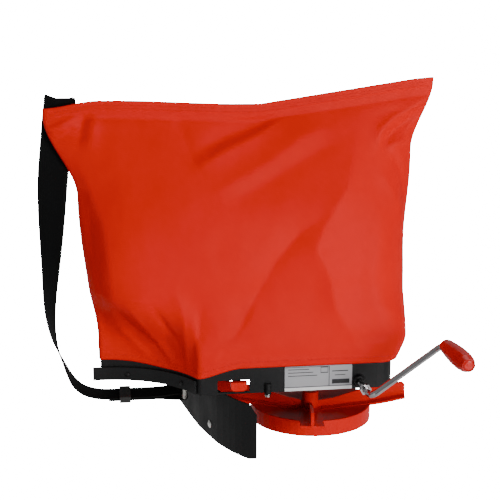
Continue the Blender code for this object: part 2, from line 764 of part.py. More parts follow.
def bevel_gear(name, teeth, mate_teeth, module, start, bore, hub_radius, hub_length):
    """Bevel gear on its own Z, apex at the origin, teeth towards the apex, hub behind."""
    outline, apex = bevel_outline(teeth, mate_teeth, module, start)
    sheet = bmesh.new()
    verts = [sheet.verts.new((x, y, apex)) for x, y in outline]
    face = sheet.faces.new(verts)
    made = bmesh.ops.extrude_face_region(sheet, geom=[face])
    small = 1 - BEVEL_FACE
    for vert in (item for item in made["geom"] if isinstance(item, bmesh.types.BMVert)):
        vert.co = vert.co * small
    bmesh.ops.recalc_face_normals(sheet, faces=sheet.faces)
    mesh = bpy.data.meshes.new(name)
    sheet.to_mesh(mesh)
    sheet.free()
    gear = bpy.data.objects.new(name, mesh)
    bpy.context.scene.collection.objects.link(gear)
    hub = plate(name + "_hub", [circle(0, 0, hub_radius)], apex - 0.5 * MM, apex + hub_length)
    hole = plate(name + "_bore", [circle(0, 0, bore)], apex * small - 2 * MM, apex + hub_length + 2 * MM)
    return gear, hub, hole


def solid_difference(name, gear, hub, hole):
    """Join the hub, cut the bore, and keep the result as one mesh."""
    for tool, operation in ((hub, "UNION"), (hole, "DIFFERENCE")):
        change = gear.modifiers.new(tool.name, "BOOLEAN")
        change.operation = operation
        change.solver = "EXACT"
        change.object = tool
    as_mesh(gear)
    for tool in (hub, hole):
        bpy.data.objects.remove(tool, do_unlink=True)
    gear.name = name
    return gear


def make_gears():
    """Crank bevel, countershaft with bevel and spur, and the impeller's pinion."""
    half_pitch = math.pi / COUNTER_BEVEL_TEETH
    crank_gear = solid_difference("crank_bevel_gear", *bevel_gear(
        "crank_bevel_gear", CRANK_TEETH, COUNTER_BEVEL_TEETH, BEVEL_MODULE, math.pi / 2,
        CRANK_ROD_R + CLEAR, 8 * MM, 10 * MM))
    crank_gear.data.transform(Matrix.Rotation(math.pi / 2, 4, "X"))
    finish_part(crank_gear, STEEL, (CRANK_X, 0, CRANK_Z))
    counter = solid_difference("counter_bevel_gear", *bevel_gear(
        "counter_bevel_gear", COUNTER_BEVEL_TEETH, CRANK_TEETH, BEVEL_MODULE, -math.pi / 2 + half_pitch,
        COUNTER_SHAFT_R + CLEAR, 6 * MM, 5 * MM))
    finish_part(counter, STEEL, (CRANK_X, 0, CRANK_Z))
    bore = circle(0, 0, COUNTER_SHAFT_R + CLEAR)[::-1]
    spur = plate("counter_spur_gear", [spur_outline(COUNTER_SPUR_TEETH, SPUR_MODULE, math.pi), bore],
                 SPUR_LOW, SPUR_LOW + SPUR_FACE)
    finish_part(spur, WHITE, (CRANK_X, 0, 0))
    bore = circle(0, 0, IMPELLER_SHAFT_R + CLEAR)[::-1]
    pinion_outline = spur_outline(IMPELLER_TEETH, SPUR_MODULE, math.pi / IMPELLER_TEETH)
    pinion = plate("impeller_pinion", [pinion_outline, bore],
                   SPUR_LOW - 0.5 * MM, SPUR_LOW + SPUR_FACE + 0.5 * MM)
    finish_part(pinion, STEEL)
    shaft = plate("countershaft", [circle(0, 0, COUNTER_SHAFT_R)], CASE_BOTTOM - COVER_THICK + 1 * MM,
                  FLOOR_Z + FLOOR_THICK)
    finish_part(shaft, STEEL, (CRANK_X, 0, 0), angle=40)


def make_case():
    """Gear case under the floor, with its cover and screws."""
    outer = rectangle(-CASE_LEFT, CASE_RIGHT, -CASE_HALF_DEPTH, CASE_HALF_DEPTH, 5 * MM)
    inner = rectangle(-CASE_LEFT + CASE_LEFT_WALL, CASE_RIGHT - CASE_RIGHT_WALL,
                      -CASE_HALF_DEPTH + CASE_WALL, CASE_HALF_DEPTH - CASE_WALL, 3 * MM)
    screw_holes = [circle(x, y, SCREW_R + CLEAR, 12)[::-1] for x, y in case_screw_places()]
    case = plate("gear_case", [outer, inner[::-1], *screw_holes], CASE_BOTTOM + CLEAR, FLOOR_Z - CLEAR)
    front = -CASE_HALF_DEPTH
    hole = upright_plate("case_crank_cut", [circle(CRANK_X, CRANK_Z, CRANK_ROD_R + 2.5 * MM + CLEAR)],
                         front - 5 * MM, front + CASE_WALL + 5 * MM)
    boolean(case, hole, "DIFFERENCE")
    finish_part(case, BLACK)
    cover_holes = [circle(0, 0, IMPELLER_SHAFT_R + 3 * MM + CLEAR)[::-1],
                   circle(CRANK_X, 0, COUNTER_SHAFT_R + 2 * MM + CLEAR)[::-1]]
    cover = plate("gear_case_cover", [outer, *cover_holes, *screw_holes],
                  CASE_BOTTOM - COVER_THICK, CASE_BOTTOM)
    finish_part(cover, BLACK)
    tip = FLOOR_Z + FLOOR_THICK
    head = CASE_BOTTOM - COVER_THICK - CLEAR
    head_low = head - 2.2 * MM
    for number, (x, y) in enumerate(case_screw_places(), 1):
        screw = turned(f"case_screw_{number}",
                       [(0, tip), (SCREW_R, tip), (SCREW_R, head), (SCREW_HEAD_R, head),
                        (SCREW_HEAD_R * 0.8, head_low), (0, head_low)], 12)
        finish_part(screw, STEEL, (x, y, 0))


def make_bushes():
    """Plain bearings of the three shafts."""
    inner = IMPELLER_SHAFT_R + CLEAR
    outer = IMPELLER_SHAFT_R + 4 * MM
    top = FLOOR_Z + FLOOR_THICK
    flange = outer + 3 * MM
    flange_top = top + 2.4 * MM
    foot = FLOOR_Z - 0.5 * MM
    upper = turned("impeller_upper_bush",
                   [(inner, flange_top), (flange, flange_top), (flange, top + CLEAR), (outer, top + CLEAR),
                    (outer, foot), (inner, foot)], 24, closed=True)
    finish_part(upper, BRASS, angle=40)
    low = CASE_BOTTOM - COVER_THICK
    flange_top = CASE_BOTTOM + 4 * MM
    neck = inner + 3 * MM - CLEAR
    lower = turned("impeller_lower_bush",
                   [(inner, flange_top), (inner + 6 * MM, flange_top), (inner + 6 * MM, CASE_BOTTOM + CLEAR),
                    (neck, CASE_BOTTOM + CLEAR), (neck, low), (inner, low)], 24, closed=True)
    finish_part(lower, BRASS, angle=40)
    inner = COUNTER_SHAFT_R + CLEAR
    ring_low = ring("counter_lower_bush", inner, COUNTER_SHAFT_R + 2 * MM, low + 0.5 * MM, CASE_BOTTOM, 24)
    finish_part(ring_low, BRASS, (CRANK_X, 0, 0))
    ring_high = ring("counter_upper_bush", inner, COUNTER_SHAFT_R + 3 * MM,
                     FLOOR_Z - 0.4 * MM, top - 0.4 * MM, 24)
    finish_part(ring_high, BRASS, (CRANK_X, 0, 0))
    inner = CRANK_ROD_R + CLEAR
    face = -TRAY_HALF_DEPTH
    flange = CRANK_BUSH_R + 1.4 * MM
    bush = turned("crank_bush",
                  [(inner, 6 * MM), (inner + 2.2 * MM, 6 * MM), (flange, 1.5 * MM), (flange, CLEAR),
                   (CRANK_BUSH_R, CLEAR), (CRANK_BUSH_R, -6 * MM), (inner, -6 * MM)], 24, closed=True)
    bush.rotation_euler = (math.pi / 2, 0, 0)
    finish_part(bush, BLACK, (CRANK_X, face, CRANK_Z), angle=40)
    inner_bush = ring("crank_inner_bush", inner, CRANK_ROD_R + 2.5 * MM, -CASE_WALL, 1 * MM, 24)
    inner_bush.rotation_euler = (math.pi / 2, 0, 0)
    finish_part(inner_bush, BRASS, (CRANK_X, -CASE_HALF_DEPTH, CRANK_Z))


# ---- crank ----
def arm_end():
    return Vector((CRANK_X + CRANK_ARM * math.cos(CRANK_ARM_ANGLE), -CRANK_REACH,
                   CRANK_Z + CRANK_ARM * math.sin(CRANK_ARM_ANGLE)))


def make_crank():
    """Bent steel crank with a free-turning grip."""
    bevel_front = COUNTER_BEVEL_TEETH * BEVEL_MODULE / 2 * (1 - BEVEL_FACE)
    end = arm_end()
    pin_end = Vector((end.x, end.y - GRIP_LENGTH + 4 * MM, end.z))
    axis = Vector((CRANK_X, 0, CRANK_Z))
    corners = [(CRANK_X, -bevel_front - 0.3 * MM, CRANK_Z), (CRANK_X, -CRANK_REACH, CRANK_Z), end, pin_end]
    path = [point - axis for point in bent(corners, CRANK_BEND_R, 6)]
    rod = wire("crank_rod", path, CRANK_ROD_R, resolution=3)
    finish_part(rod, CHROME, (CRANK_X, 0, CRANK_Z), angle=50)
    hole = circle(CRANK_X, CRANK_Z, CRANK_ROD_R + CLEAR)[::-1]
    nut = upright_plate("crank_nut", [circle(CRANK_X, CRANK_Z, 7.2 * MM, 6), hole],
                        -CRANK_NUT_Y - 3 * MM, -CRANK_NUT_Y + 3 * MM)
    finish_part(nut, CHROME)
    retainer = upright_plate("crank_retainer", [circle(CRANK_X, CRANK_Z, 8 * MM), hole],
                             -CASE_HALF_DEPTH - 8 * MM, -CASE_HALF_DEPTH - 4 * MM)
    finish_part(retainer, STEEL)
    bore = CRANK_ROD_R + CLEAR
    start = -CRANK_BEND_R - 0.5 * MM
    stop = -GRIP_LENGTH
    bulge = [(0.765, start), (0.817, -16 * MM), (0.922, -30 * MM), (1.0, -48 * MM), (1.0, -64 * MM),
             (0.887, -76 * MM), (0.652, stop)]
    pocket_r = 6.6 * MM
    pocket_floor = stop + 3.5 * MM
    profile = [(bore, start)] + [(GRIP_R * share, height) for share, height in bulge]
    profile += [(pocket_r, stop), (pocket_r, pocket_floor), (bore, pocket_floor)]
    grip = turned("crank_grip", profile, 32, closed=True)
    grip.rotation_euler = (-math.pi / 2, 0, 0)
    finish_part(grip, RED_ORANGE, end, angle=40)
    cap_r = pocket_r - 0.4 * MM
    cap = turned("grip_cap", [(0, 0), (cap_r, 0), (cap_r, -2.6 * MM), (cap_r - 1.8 * MM, -3.4 * MM),
                              (0, -3.4 * MM)], 24)
    cap.rotation_euler = (-math.pi / 2, 0, 0)
    finish_part(cap, RED_ORANGE, (end.x, end.y - GRIP_LENGTH + 3.1 * MM, end.z), angle=30)


# ---- impeller ----
def vane_floor(radius):
    """Height of the vane's foot, rising outwards."""
    return 9 * MM + 8 * MM * smooth(10 * MM, 80 * MM, radius) + 13.75 * MM * smooth(66 * MM, 150 * MM, radius)


def vane_top(radius):
    return 19 * MM + 20 * MM * smooth(4 * MM, 88 * MM, radius) + 8 * MM * smooth(70 * MM, 130 * MM, radius)


def make_impeller():
    """Drum with four upswept vanes on a hub."""
    floor = [(radius, vane_floor(radius)) for radius in (HUB_R, 30 * MM, 50 * MM, DRUM_R - DRUM_WALL)]
    thick = 2.2 * MM
    profile = [(IMPELLER_SHAFT_R + CLEAR, HUB_TOP), (HUB_R, HUB_TOP), (HUB_R, floor[0][1] + thick)]
    profile += [(radius, height + thick) for radius, height in floor[1:]]
    profile += [(DRUM_R - DRUM_WALL, DRUM_HEIGHT + 1 * MM), (DRUM_R, DRUM_HEIGHT + 1 * MM), (DRUM_R, 0),
                (DRUM_R - DRUM_WALL, 0)]
    profile += [(radius, height) for radius, height in floor[::-1]]
    profile += [(HUB_R, HUB_BOTTOM), (IMPELLER_SHAFT_R + CLEAR, HUB_BOTTOM)]
    impeller = as_mesh(turned("impeller", profile, 48, closed=True))
    for number in range(VANE_COUNT):
        radii = [8 * MM, 30 * MM, 57 * MM, 80 * MM, 100 * MM, VANE_R - 4 * MM]
        upper = [(radius, vane_top(radius)) for radius in radii]
        upper += [(VANE_R, vane_top(VANE_R) - 3.5 * MM)]
        lower = [(radius, vane_floor(radius) + 1 * MM) for radius in [VANE_R] + radii[::-1]]
        web = upright_plate(f"vane_web_{number}", [lower[::-1] + upper[::-1]], -VANE_WEB / 2, VANE_WEB / 2)
        radii = [VANE_FOOT / 2 + 0.8 * MM, 30 * MM, 52 * MM, 76 * MM, 92 * MM, 108 * MM, VANE_R - 0.6 * MM]
        top = [(radius, vane_floor(radius) + VANE_FOOT_THICK) for radius in radii]
        under = [(radius, vane_floor(radius) + 0.4 * MM) for radius in radii]
        foot = upright_plate(f"vane_foot_{number}", [under + top[::-1]], -VANE_FOOT / 2, VANE_FOOT / 2)
        for tool in (web, foot):
            tool.data.transform(Matrix.Rotation(VANE_ANGLE + number * 2 * math.pi / VANE_COUNT, 4, "Z"))
            boolean(impeller, tool, "UNION")
    finish_part(impeller, ORANGE, angle=35)
    shaft = plate("impeller_shaft", [circle(0, 0, IMPELLER_SHAFT_R)], 0.5 * MM, AGITATOR_Z + 9 * MM)
    finish_part(shaft, STEEL, angle=40)
    nut_top = HUB_BOTTOM - CLEAR - 1.2 * MM - CLEAR
    washer = ring("impeller_washer", IMPELLER_SHAFT_R + CLEAR, 8.5 * MM,
                  nut_top + CLEAR, HUB_BOTTOM - CLEAR, 24)
    finish_part(washer, STEEL)
    nut = plate("impeller_nut", [circle(0, 0, 7 * MM, 6), circle(0, 0, IMPELLER_SHAFT_R + CLEAR)[::-1]],
                nut_top - 5.5 * MM, nut_top)
    finish_part(nut, STEEL)


def make_agitator():
    """Collar with two arms that stirs the material over the outlet."""
    collar = as_mesh(turned("agitator", [(0, AGITATOR_Z + 6 * MM), (8.5 * MM, AGITATOR_Z + 6 * MM),
                                         (8.5 * MM, AGITATOR_Z - 6 * MM), (0, AGITATOR_Z - 6 * MM)], 24))
    reach = AGITATOR_REACH
    path = bent([(-reach, 0, AGITATOR_Z + 8 * MM), (-16 * MM, 0, AGITATOR_Z), (16 * MM, 0, AGITATOR_Z),
                 (reach, 0, AGITATOR_Z + 8 * MM)], 6 * MM, 3)
    arms = wire("agitator_arms", path, 2 * MM)
    boolean(collar, arms, "UNION")
    bore = plate("agitator_bore", [circle(0, 0, IMPELLER_SHAFT_R + CLEAR)],
                 AGITATOR_Z - 20 * MM, AGITATOR_Z + 20 * MM)
    boolean(collar, bore, "DIFFERENCE")
    finish_part(collar, STEEL, angle=40)


# ---- outlet and gate ----
def make_outlet():
    """Chute under the floor, the guide that carries the gate, and the gate with its knob."""
    wall = 1.8 * MM
    inner = rectangle(-OUTLET_LEFT, -OUTLET_RIGHT, -OUTLET_HALF_WIDTH, OUTLET_HALF_WIDTH)
    outer = rectangle(-OUTLET_LEFT - wall, -OUTLET_RIGHT + wall,
                      -OUTLET_HALF_WIDTH - wall, OUTLET_HALF_WIDTH + wall)
    gate_top = GATE_Z + GATE_THICK
    chute = plate("outlet_chute", [outer, inner[::-1]], gate_top + CLEAR, FLOOR_Z - CLEAR)
    finish_part(chute, BLACK)
    half = OUTLET_HALF_WIDTH + 6 * MM
    guide_half = half + 5 * MM
    right = -CASE_LEFT - CLEAR
    left = -OUTLET_LEFT - 36 * MM
    guide_low = GATE_Z - CLEAR - 3 * MM
    base = plate("gate_guide", [rectangle(left, right, -guide_half, guide_half), inner[::-1]],
                 guide_low, GATE_Z - CLEAR)
    for side in (-1, 1):
        edge = sorted((side * (half + CLEAR), side * guide_half))
        rail = plate(f"gate_rail_{side + 1}", [rectangle(left, right, edge[0], edge[1])], GATE_Z - 2 * MM,
                     FLOOR_Z - CLEAR)
        boolean(base, rail, "UNION")
    finish_part(base, BLACK)
    gate_right = -OUTLET_RIGHT + 3 * MM
    gate_left = LEVER_X - 7 * MM
    arm_half = 5 * MM
    arm_front = -TRAY_HALF_DEPTH + TRAY_WALL + 1.5 * MM
    outline = [(LEVER_X - arm_half, arm_front), (LEVER_X + arm_half, arm_front), (LEVER_X + arm_half, -half),
               (gate_right, -half), (gate_right, half), (gate_left, half), (gate_left, -half),
               (LEVER_X - arm_half, -half)]
    gate = plate("flow_gate", [outline], GATE_Z, gate_top)
    finish_part(gate, STEEL)
    radius = LEVER_HEIGHT * 0.45
    middle = GATE_Z + GATE_THICK / 2
    high = middle + LEVER_HEIGHT / 2
    low = middle - LEVER_HEIGHT / 2
    left_edge = LEVER_X - LEVER_WIDTH / 2
    right_edge = LEVER_X + LEVER_WIDTH / 2
    knob_outline = [(right_edge, high), (left_edge, high)]
    for centre, first in ((left_edge + radius, math.pi), (right_edge - radius, 1.5 * math.pi)):
        knob_outline += [(centre + radius * math.cos(first + step * math.pi / 8),
                          low + radius + radius * math.sin(first + step * math.pi / 8)) for step in range(5)]
    knob = upright_plate("gate_lever", [knob_outline], -TRAY_HALF_DEPTH - 4 * MM, arm_front - CLEAR)
    finish_part(knob, ORANGE)


# ---- shield ----
def shield_path():
    """Plan of the deflector: curved round the impeller, then nearly straight to the far end."""
    points = [(-89, -117), (-104, -99), (-117, -78), (-129, -52), (-137.5, -24), (-146, 6), (-152, 36),
              (-158, 70), (-165, 113)]
    return [(point.x, point.y) for point in through([(x * MM, y * MM, 0) for x, y in points], 2)]


def make_shield():
    """Deflector wall beside the impeller, its bracket and its rivet."""
    path = shield_path()
    lengths = [0.0]
    for a, b in zip(path, path[1:]):
        lengths.append(lengths[-1] + (Vector(b) - Vector(a)).length)
    round_r = 9 * MM
    rows = 6
    sheet = bmesh.new()
    grid = []
    for (x, y), run in zip(path, lengths):
        drop = round_r - math.sqrt(max(round_r ** 2 - max(round_r - run, 0) ** 2, 0))
        lift = 0.55 * max(round_r * 0.7 - run, 0)
        top = SHIELD_TOP - 1.3 * drop
        low = SHIELD_BOTTOM + lift
        grid.append([sheet.verts.new((x, y, low + (top - low) * k / rows)) for k in range(rows + 1)])
    for first, second in zip(grid, grid[1:]):
        for k in range(rows):
            sheet.faces.new((first[k], second[k], second[k + 1], first[k + 1]))
    mesh = bpy.data.meshes.new("deflector_shield")
    sheet.to_mesh(mesh)
    sheet.free()
    shield = bpy.data.objects.new("deflector_shield", mesh)
    shell = shield.modifiers.new("Wall", "SOLIDIFY")
    shell.thickness = SHIELD_THICK
    shell.offset = 0
    finish_part(shield, BLACK, angle=40)
    place = Vector((-135.6, -30.5)) * MM
    tangent = Vector((-0.272, 0.962))
    inward = Vector((tangent.y, -tangent.x))
    gap = SHIELD_THICK / 2 + 0.8 * MM
    thick = 2 * MM
    half = 9 * MM
    corners = [place + tangent * a + inward * b for a, b in
               ((-half, gap), (half, gap), (half, gap + thick), (-half, gap + thick))]
    bracket = plate("shield_bracket", [[tuple(corner) for corner in corners][::-1]],
                    -6 * MM, FLOOR_Z - CLEAR)
    near = gap + thick - 0.5 * MM
    far = gap + 16 * MM
    foot = [place + tangent * a + inward * b
            for a, b in ((-half, near), (half, near), (half, far), (-half, far))]
    tab = plate("bracket_tab", [[tuple(corner) for corner in foot][::-1]],
                FLOOR_Z - CLEAR - thick, FLOOR_Z - CLEAR)
    boolean(bracket, tab, "UNION")
    finish_part(bracket, STEEL)
    rivet_profile = [(0, 2 * MM), (2.4 * MM, 1.7 * MM), (5 * MM, 0.4 * MM), (5 * MM, 0), (0, 0)]
    rivet = turned("shield_rivet", rivet_profile, 20)
    rivet.rotation_euler = (0, math.pi / 2, math.atan2(-inward.y, -inward.x))
    outside = place - inward * (SHIELD_THICK / 2 + 0.45 * MM)
    finish_part(rivet, WHITE, (outside.x, outside.y, 5 * MM), angle=30)
    head = TRAY_BOTTOM - 2 * MM - CLEAR
    screw = turned("shield_screw",
                   [(0, head + 9 * MM), (SCREW_R, head + 9 * MM), (SCREW_R, head), (SCREW_HEAD_R, head),
                    (SCREW_HEAD_R * 0.75, head - 3 * MM), (0, head - 3 * MM)], 16)
    finish_part(screw, WHITE, (BOSS_X, BOSS_Y, 0))


# ---- strap ----
def arc_points(centre, radius, start, end, steps, plane):
    """Arc in the XZ plane or the YZ plane; angles in degrees from +X or +Y."""
    points = []
    for step in range(steps + 1):
        angle = math.radians(start + (end - start) * step / steps)
        across, up = radius * math.cos(angle), radius * math.sin(angle)
        shift = Vector((across, 0, up)) if plane == "XZ" else Vector((0, across, up))
        points.append(Vector(centre) + shift)
    return points


def strap_frames():
    """Points of the strap's middle line with the direction of its width."""
    wrap = BAIL_R + CLEAR + STRAP_THICK / 2
    layer = STRAP_THICK / 2 + 0.3 * MM
    z = STRAP_RUN_Z
    across = Vector((0, 1, 0))
    frames = []

    def add(points, width):
        frames.extend((Vector(point), Vector(width)) for point in points)

    def mm(*values):
        return Vector(values) * MM

    tail = [Vector((x * MM, 0, z - layer)) for x in (-264, -250, -236, -222, -210)]
    tail += [Vector((-195 * MM, 0, z - layer - 0.5 * MM)), Vector((-182 * MM, 0, z - layer - 2.0 * MM))]
    add(tail, across)
    add(arc_points(FRONT_BAIL, wrap, -105, 105, 8, "XZ"), across)
    run = [Vector((-182 * MM, 0, z + layer + 2.0 * MM)), Vector((-195 * MM, 0, z + layer + 0.5 * MM))]
    run += [Vector((x * MM, 0, z + layer)) for x in (-210, -222, -236, -250, -264)]
    add(run, across)
    leg = [(mm(-280, 0, 42.4), 0), (mm(-296, 0, 48.5), 0), (mm(-307.5, 0.5, 59.5), 0),
           (mm(-314.5, 1, 73), 3), (mm(-321.5, 1.5, 90), 8), (mm(-328.5, 2, 109), 13), (mm(-332.5, 2.5, 130), 18),
           (mm(-334, 3, 152), 23), (mm(-333.2, 3.5, 178), 29), (mm(-331.3, 4, 206), 37),
           (mm(-329.5, 4.5, 235), 47), (mm(-327.8, 5, 265), 58), (mm(-326, 5.5, 295), 69),
           (mm(-323.6, 7.5, 325), 79), (mm(-320, 10.5, 355), 86), (mm(-316.5, 11.5, 385), 90)]
    for point, turn in leg:
        frames.append((point, Vector((-math.sin(math.radians(turn)), math.cos(math.radians(turn)), 0))))
    add(arc_points(CREST, CREST_R, 180, 0, 6, "YZ"), (-1, 0, 0))
    back = [mm(-310.8, 20.8, 396), mm(-302, 28, 372), mm(-283, 40, 340), mm(-266, 54, 305),
            mm(-254, 67, 270), mm(-246, 76, 235), mm(-240, 83, 200), mm(-233, 87.5, 168),
            mm(-224, 91, 138), mm(-213, 93.5, 112), mm(-204, 95.3, 92)]
    add(back, (-1, 0, 0))
    add(arc_points(REAR_BAIL, wrap, 15, -195, 8, "YZ"), (-1, 0, 0))
    add([mm(-201, 90.3, 86), mm(-206.5, 88.4, 98), mm(-213, 85.6, 110)], (-1, 0, 0))
    return frames


def make_strap():
    """Webbing ribbon: open surface with a wall of the webbing's thickness."""
    frames = strap_frames()
    sheet = bmesh.new()
    rows = []
    for k, (point, width) in enumerate(frames):
        before = frames[max(k - 1, 0)][0]
        after = frames[min(k + 1, len(frames) - 1)][0]
        tangent = (after - before).normalized()
        width = (width - tangent * width.dot(tangent)).normalized() * STRAP_WIDTH / 2
        rows.append((sheet.verts.new(point - width), sheet.verts.new(point + width)))
    for (a, b), (c, d) in zip(rows, rows[1:]):
        sheet.faces.new((a, b, d, c))
    mesh = bpy.data.meshes.new("shoulder_strap")
    sheet.to_mesh(mesh)
    sheet.free()
    strap = bpy.data.objects.new("shoulder_strap", mesh)
    shell = strap.modifiers.new("Webbing", "SOLIDIFY")
    shell.thickness = STRAP_THICK
    shell.offset = 0
    finish_part(strap, WEBBING, angle=60)


def make_strap_fittings():
    """Two wire bails under and behind the tray, and the slide that holds the two lower layers."""
    half = STRAP_WIDTH / 2 + 4.5 * MM
    x, _, z = FRONT_BAIL
    top = FLOOR_Z - CLEAR
    corners = [(x, -half, top), (x, -half, z), (x, half, z), (x, half, top)]
    front = wire("front_strap_bail", bent(corners, 4 * MM, 4), BAIL_R)
    finish_part(front, STEEL, angle=50)
    x, y, z = REAR_BAIL
    wall = TRAY_HALF_DEPTH + CLEAR
    corners = [(x - half, wall, z), (x - half, y, z), (x + half, y, z), (x + half, wall, z)]
    rear = wire("rear_strap_bail", bent(corners, 4 * MM, 4), BAIL_R)
    finish_part(rear, STEEL, angle=50)
    half_layers = STRAP_THICK + 0.3 * MM
    half = STRAP_WIDTH / 2
    opening = half_layers + CLEAR
    inner = rectangle(-half - 0.8 * MM, half + 0.8 * MM, STRAP_RUN_Z - opening, STRAP_RUN_Z + opening)
    rim = half_layers + 2.2 * MM
    outer = rectangle(-half - 3.5 * MM, half + 3.5 * MM, STRAP_RUN_Z - rim, STRAP_RUN_Z + rim, 2 * MM)
    slide = upright_plate("strap_slide", [outer, inner[::-1]], -7 * MM, 7 * MM)
    slide.data.transform(Matrix.Rotation(math.pi / 2, 4, "Z"))
    finish_part(slide, BLACK, (STRAP_SLIDE_X, 0, 0))


def make_label():
    """Plain plate on the front wall."""
    low = TRAY_BOTTOM + 0.5 * MM
    outline = rectangle(-LABEL_LEFT, LABEL_RIGHT, low, low + LABEL_HEIGHT, 1 * MM)
    back = -TRAY_HALF_DEPTH - CLEAR
    label = upright_plate("front_label", [outline], back - LABEL_THICK, back)
    finish_part(label, LABEL_GREY)


clear_scene()
PARTS = make_collection("garden_spreader")
CUTTERS = make_collection("spreader_cutters")
ROOT = bpy.data.objects.new("spreader_root", None)
PARTS.objects.link(ROOT)

make_tray()
make_floor()
make_belly_rest()
make_bag()
make_zip()
make_case()
make_gears()
make_bushes()
make_crank()
make_impeller()
make_agitator()
make_outlet()
make_shield()
make_strap()
make_strap_fittings()
make_label()

ROOT.location = -Vector((CREST.x, CREST.y, CREST.z + CREST_R + STRAP_THICK / 2))
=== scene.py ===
import json
import math

import bmesh
import bpy
import numpy as np
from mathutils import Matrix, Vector, noise


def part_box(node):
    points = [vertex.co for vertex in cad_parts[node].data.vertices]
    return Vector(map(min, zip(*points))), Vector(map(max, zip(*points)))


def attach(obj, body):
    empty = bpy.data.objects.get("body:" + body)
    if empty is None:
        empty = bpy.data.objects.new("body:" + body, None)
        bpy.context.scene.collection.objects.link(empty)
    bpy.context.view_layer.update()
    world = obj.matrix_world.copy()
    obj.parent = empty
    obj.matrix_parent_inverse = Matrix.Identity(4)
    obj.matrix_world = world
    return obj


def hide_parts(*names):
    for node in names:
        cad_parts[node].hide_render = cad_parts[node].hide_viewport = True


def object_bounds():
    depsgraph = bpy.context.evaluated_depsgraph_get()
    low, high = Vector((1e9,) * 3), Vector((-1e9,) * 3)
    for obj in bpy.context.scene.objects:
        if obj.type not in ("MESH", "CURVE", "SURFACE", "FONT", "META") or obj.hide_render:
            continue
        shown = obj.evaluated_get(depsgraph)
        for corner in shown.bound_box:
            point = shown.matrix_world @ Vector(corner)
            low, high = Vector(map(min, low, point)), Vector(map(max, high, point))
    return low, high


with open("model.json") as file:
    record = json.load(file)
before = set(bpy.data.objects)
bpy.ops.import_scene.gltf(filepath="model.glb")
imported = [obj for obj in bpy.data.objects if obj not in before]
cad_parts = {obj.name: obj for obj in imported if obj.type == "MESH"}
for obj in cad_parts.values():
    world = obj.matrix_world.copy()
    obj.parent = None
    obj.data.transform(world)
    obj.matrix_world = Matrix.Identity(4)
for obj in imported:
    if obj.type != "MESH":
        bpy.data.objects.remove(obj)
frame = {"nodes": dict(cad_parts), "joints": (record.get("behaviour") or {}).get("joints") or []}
nodes = frame["nodes"]
cadBox = [list(corner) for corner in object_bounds()]
shaftLow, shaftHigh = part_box("impeller_shaft")
axisPoint = Vector(((shaftLow.x + shaftHigh.x) / 2, (shaftLow.y + shaftHigh.y) / 2, shaftLow.z - 0.0005))
print("frame loaded")


def at(x, y, z):  # millimetres from the impeller's axis at the drum's lower rim
    return axisPoint + Vector((x, y, z)) / 1000


def ease(low, high, value):
    share = np.clip((np.asarray(value, float) - low) / (high - low), 0, 1)
    return share * share * (3 - 2 * share)


def addObject(name, mesh):
    item = bpy.data.objects.new(name, mesh)
    bpy.context.scene.collection.objects.link(item)
    return item


def aim(item, target):
    item.rotation_euler = (Vector(target) - item.location).to_track_quat("-Z", "Y").to_euler()


# camera, lights, floor
cameraLook = {"place": (0.0588, -1.2517, 0.0597), "towards": (0.1362, 0.9702, -0.198), "lens": 72.0}
camera = addObject("camera", bpy.data.cameras.new("camera"))
camera.location = cameraLook["place"]
aim(camera, Vector(cameraLook["place"]) + Vector(cameraLook["towards"]))
camera.data.lens = cameraLook["lens"]
camera.data.sensor_width = 36.0
camera.data.clip_end = 50.0
bpy.context.scene.camera = camera

lampLook = {
    "key": {"place": (1.25, -1.85, 0.05), "size": 0.9, "power": 36.0},
    "fill": {"place": (-1.7, -1.5, 0.2), "size": 1.6, "power": 7.0},
    "top": {"place": (0.1, 0.2, 1.9), "size": 1.6, "power": 4.0},
    "rear": {"place": (0.5, 1.3, 2.0), "size": 1.5, "power": 12.0},
}
for lampName, look in lampLook.items():
    lamp = bpy.data.lights.new(lampName, "AREA")
    lamp.size = look["size"]
    lamp.energy = look["power"]
    item = addObject(lampName, lamp)
    item.location = look["place"]
    aim(item, (0.2, 0.0, -0.2))

worldLook = {"shown": 30.0, "above": 0.34, "below": 0.22}
world = bpy.data.worlds.new("studio")
world.use_nodes = True
bpy.context.scene.world = world
tree = world.node_tree
shade = tree.nodes["Background"]
shade.inputs["Color"].default_value = (1, 1, 1, 1)
where = tree.nodes.new("ShaderNodeTexCoord")
split = tree.nodes.new("ShaderNodeSeparateXYZ")
tree.links.new(where.outputs["Generated"], split.inputs[0])
height = tree.nodes.new("ShaderNodeMapRange")
height.inputs["From Min"].default_value = -0.5
height.inputs["From Max"].default_value = 0.6
height.inputs["To Min"].default_value = worldLook["below"]
height.inputs["To Max"].default_value = worldLook["above"]
tree.links.new(split.outputs["Z"], height.inputs["Value"])
rays = tree.nodes.new("ShaderNodeLightPath")
choose = tree.nodes.new("ShaderNodeMix")
tree.links.new(rays.outputs["Is Camera Ray"], choose.inputs["Factor"])
tree.links.new(height.outputs["Result"], choose.inputs["A"])
choose.inputs["B"].default_value = worldLook["shown"]
tree.links.new(choose.outputs["Result"], shade.inputs["Strength"])

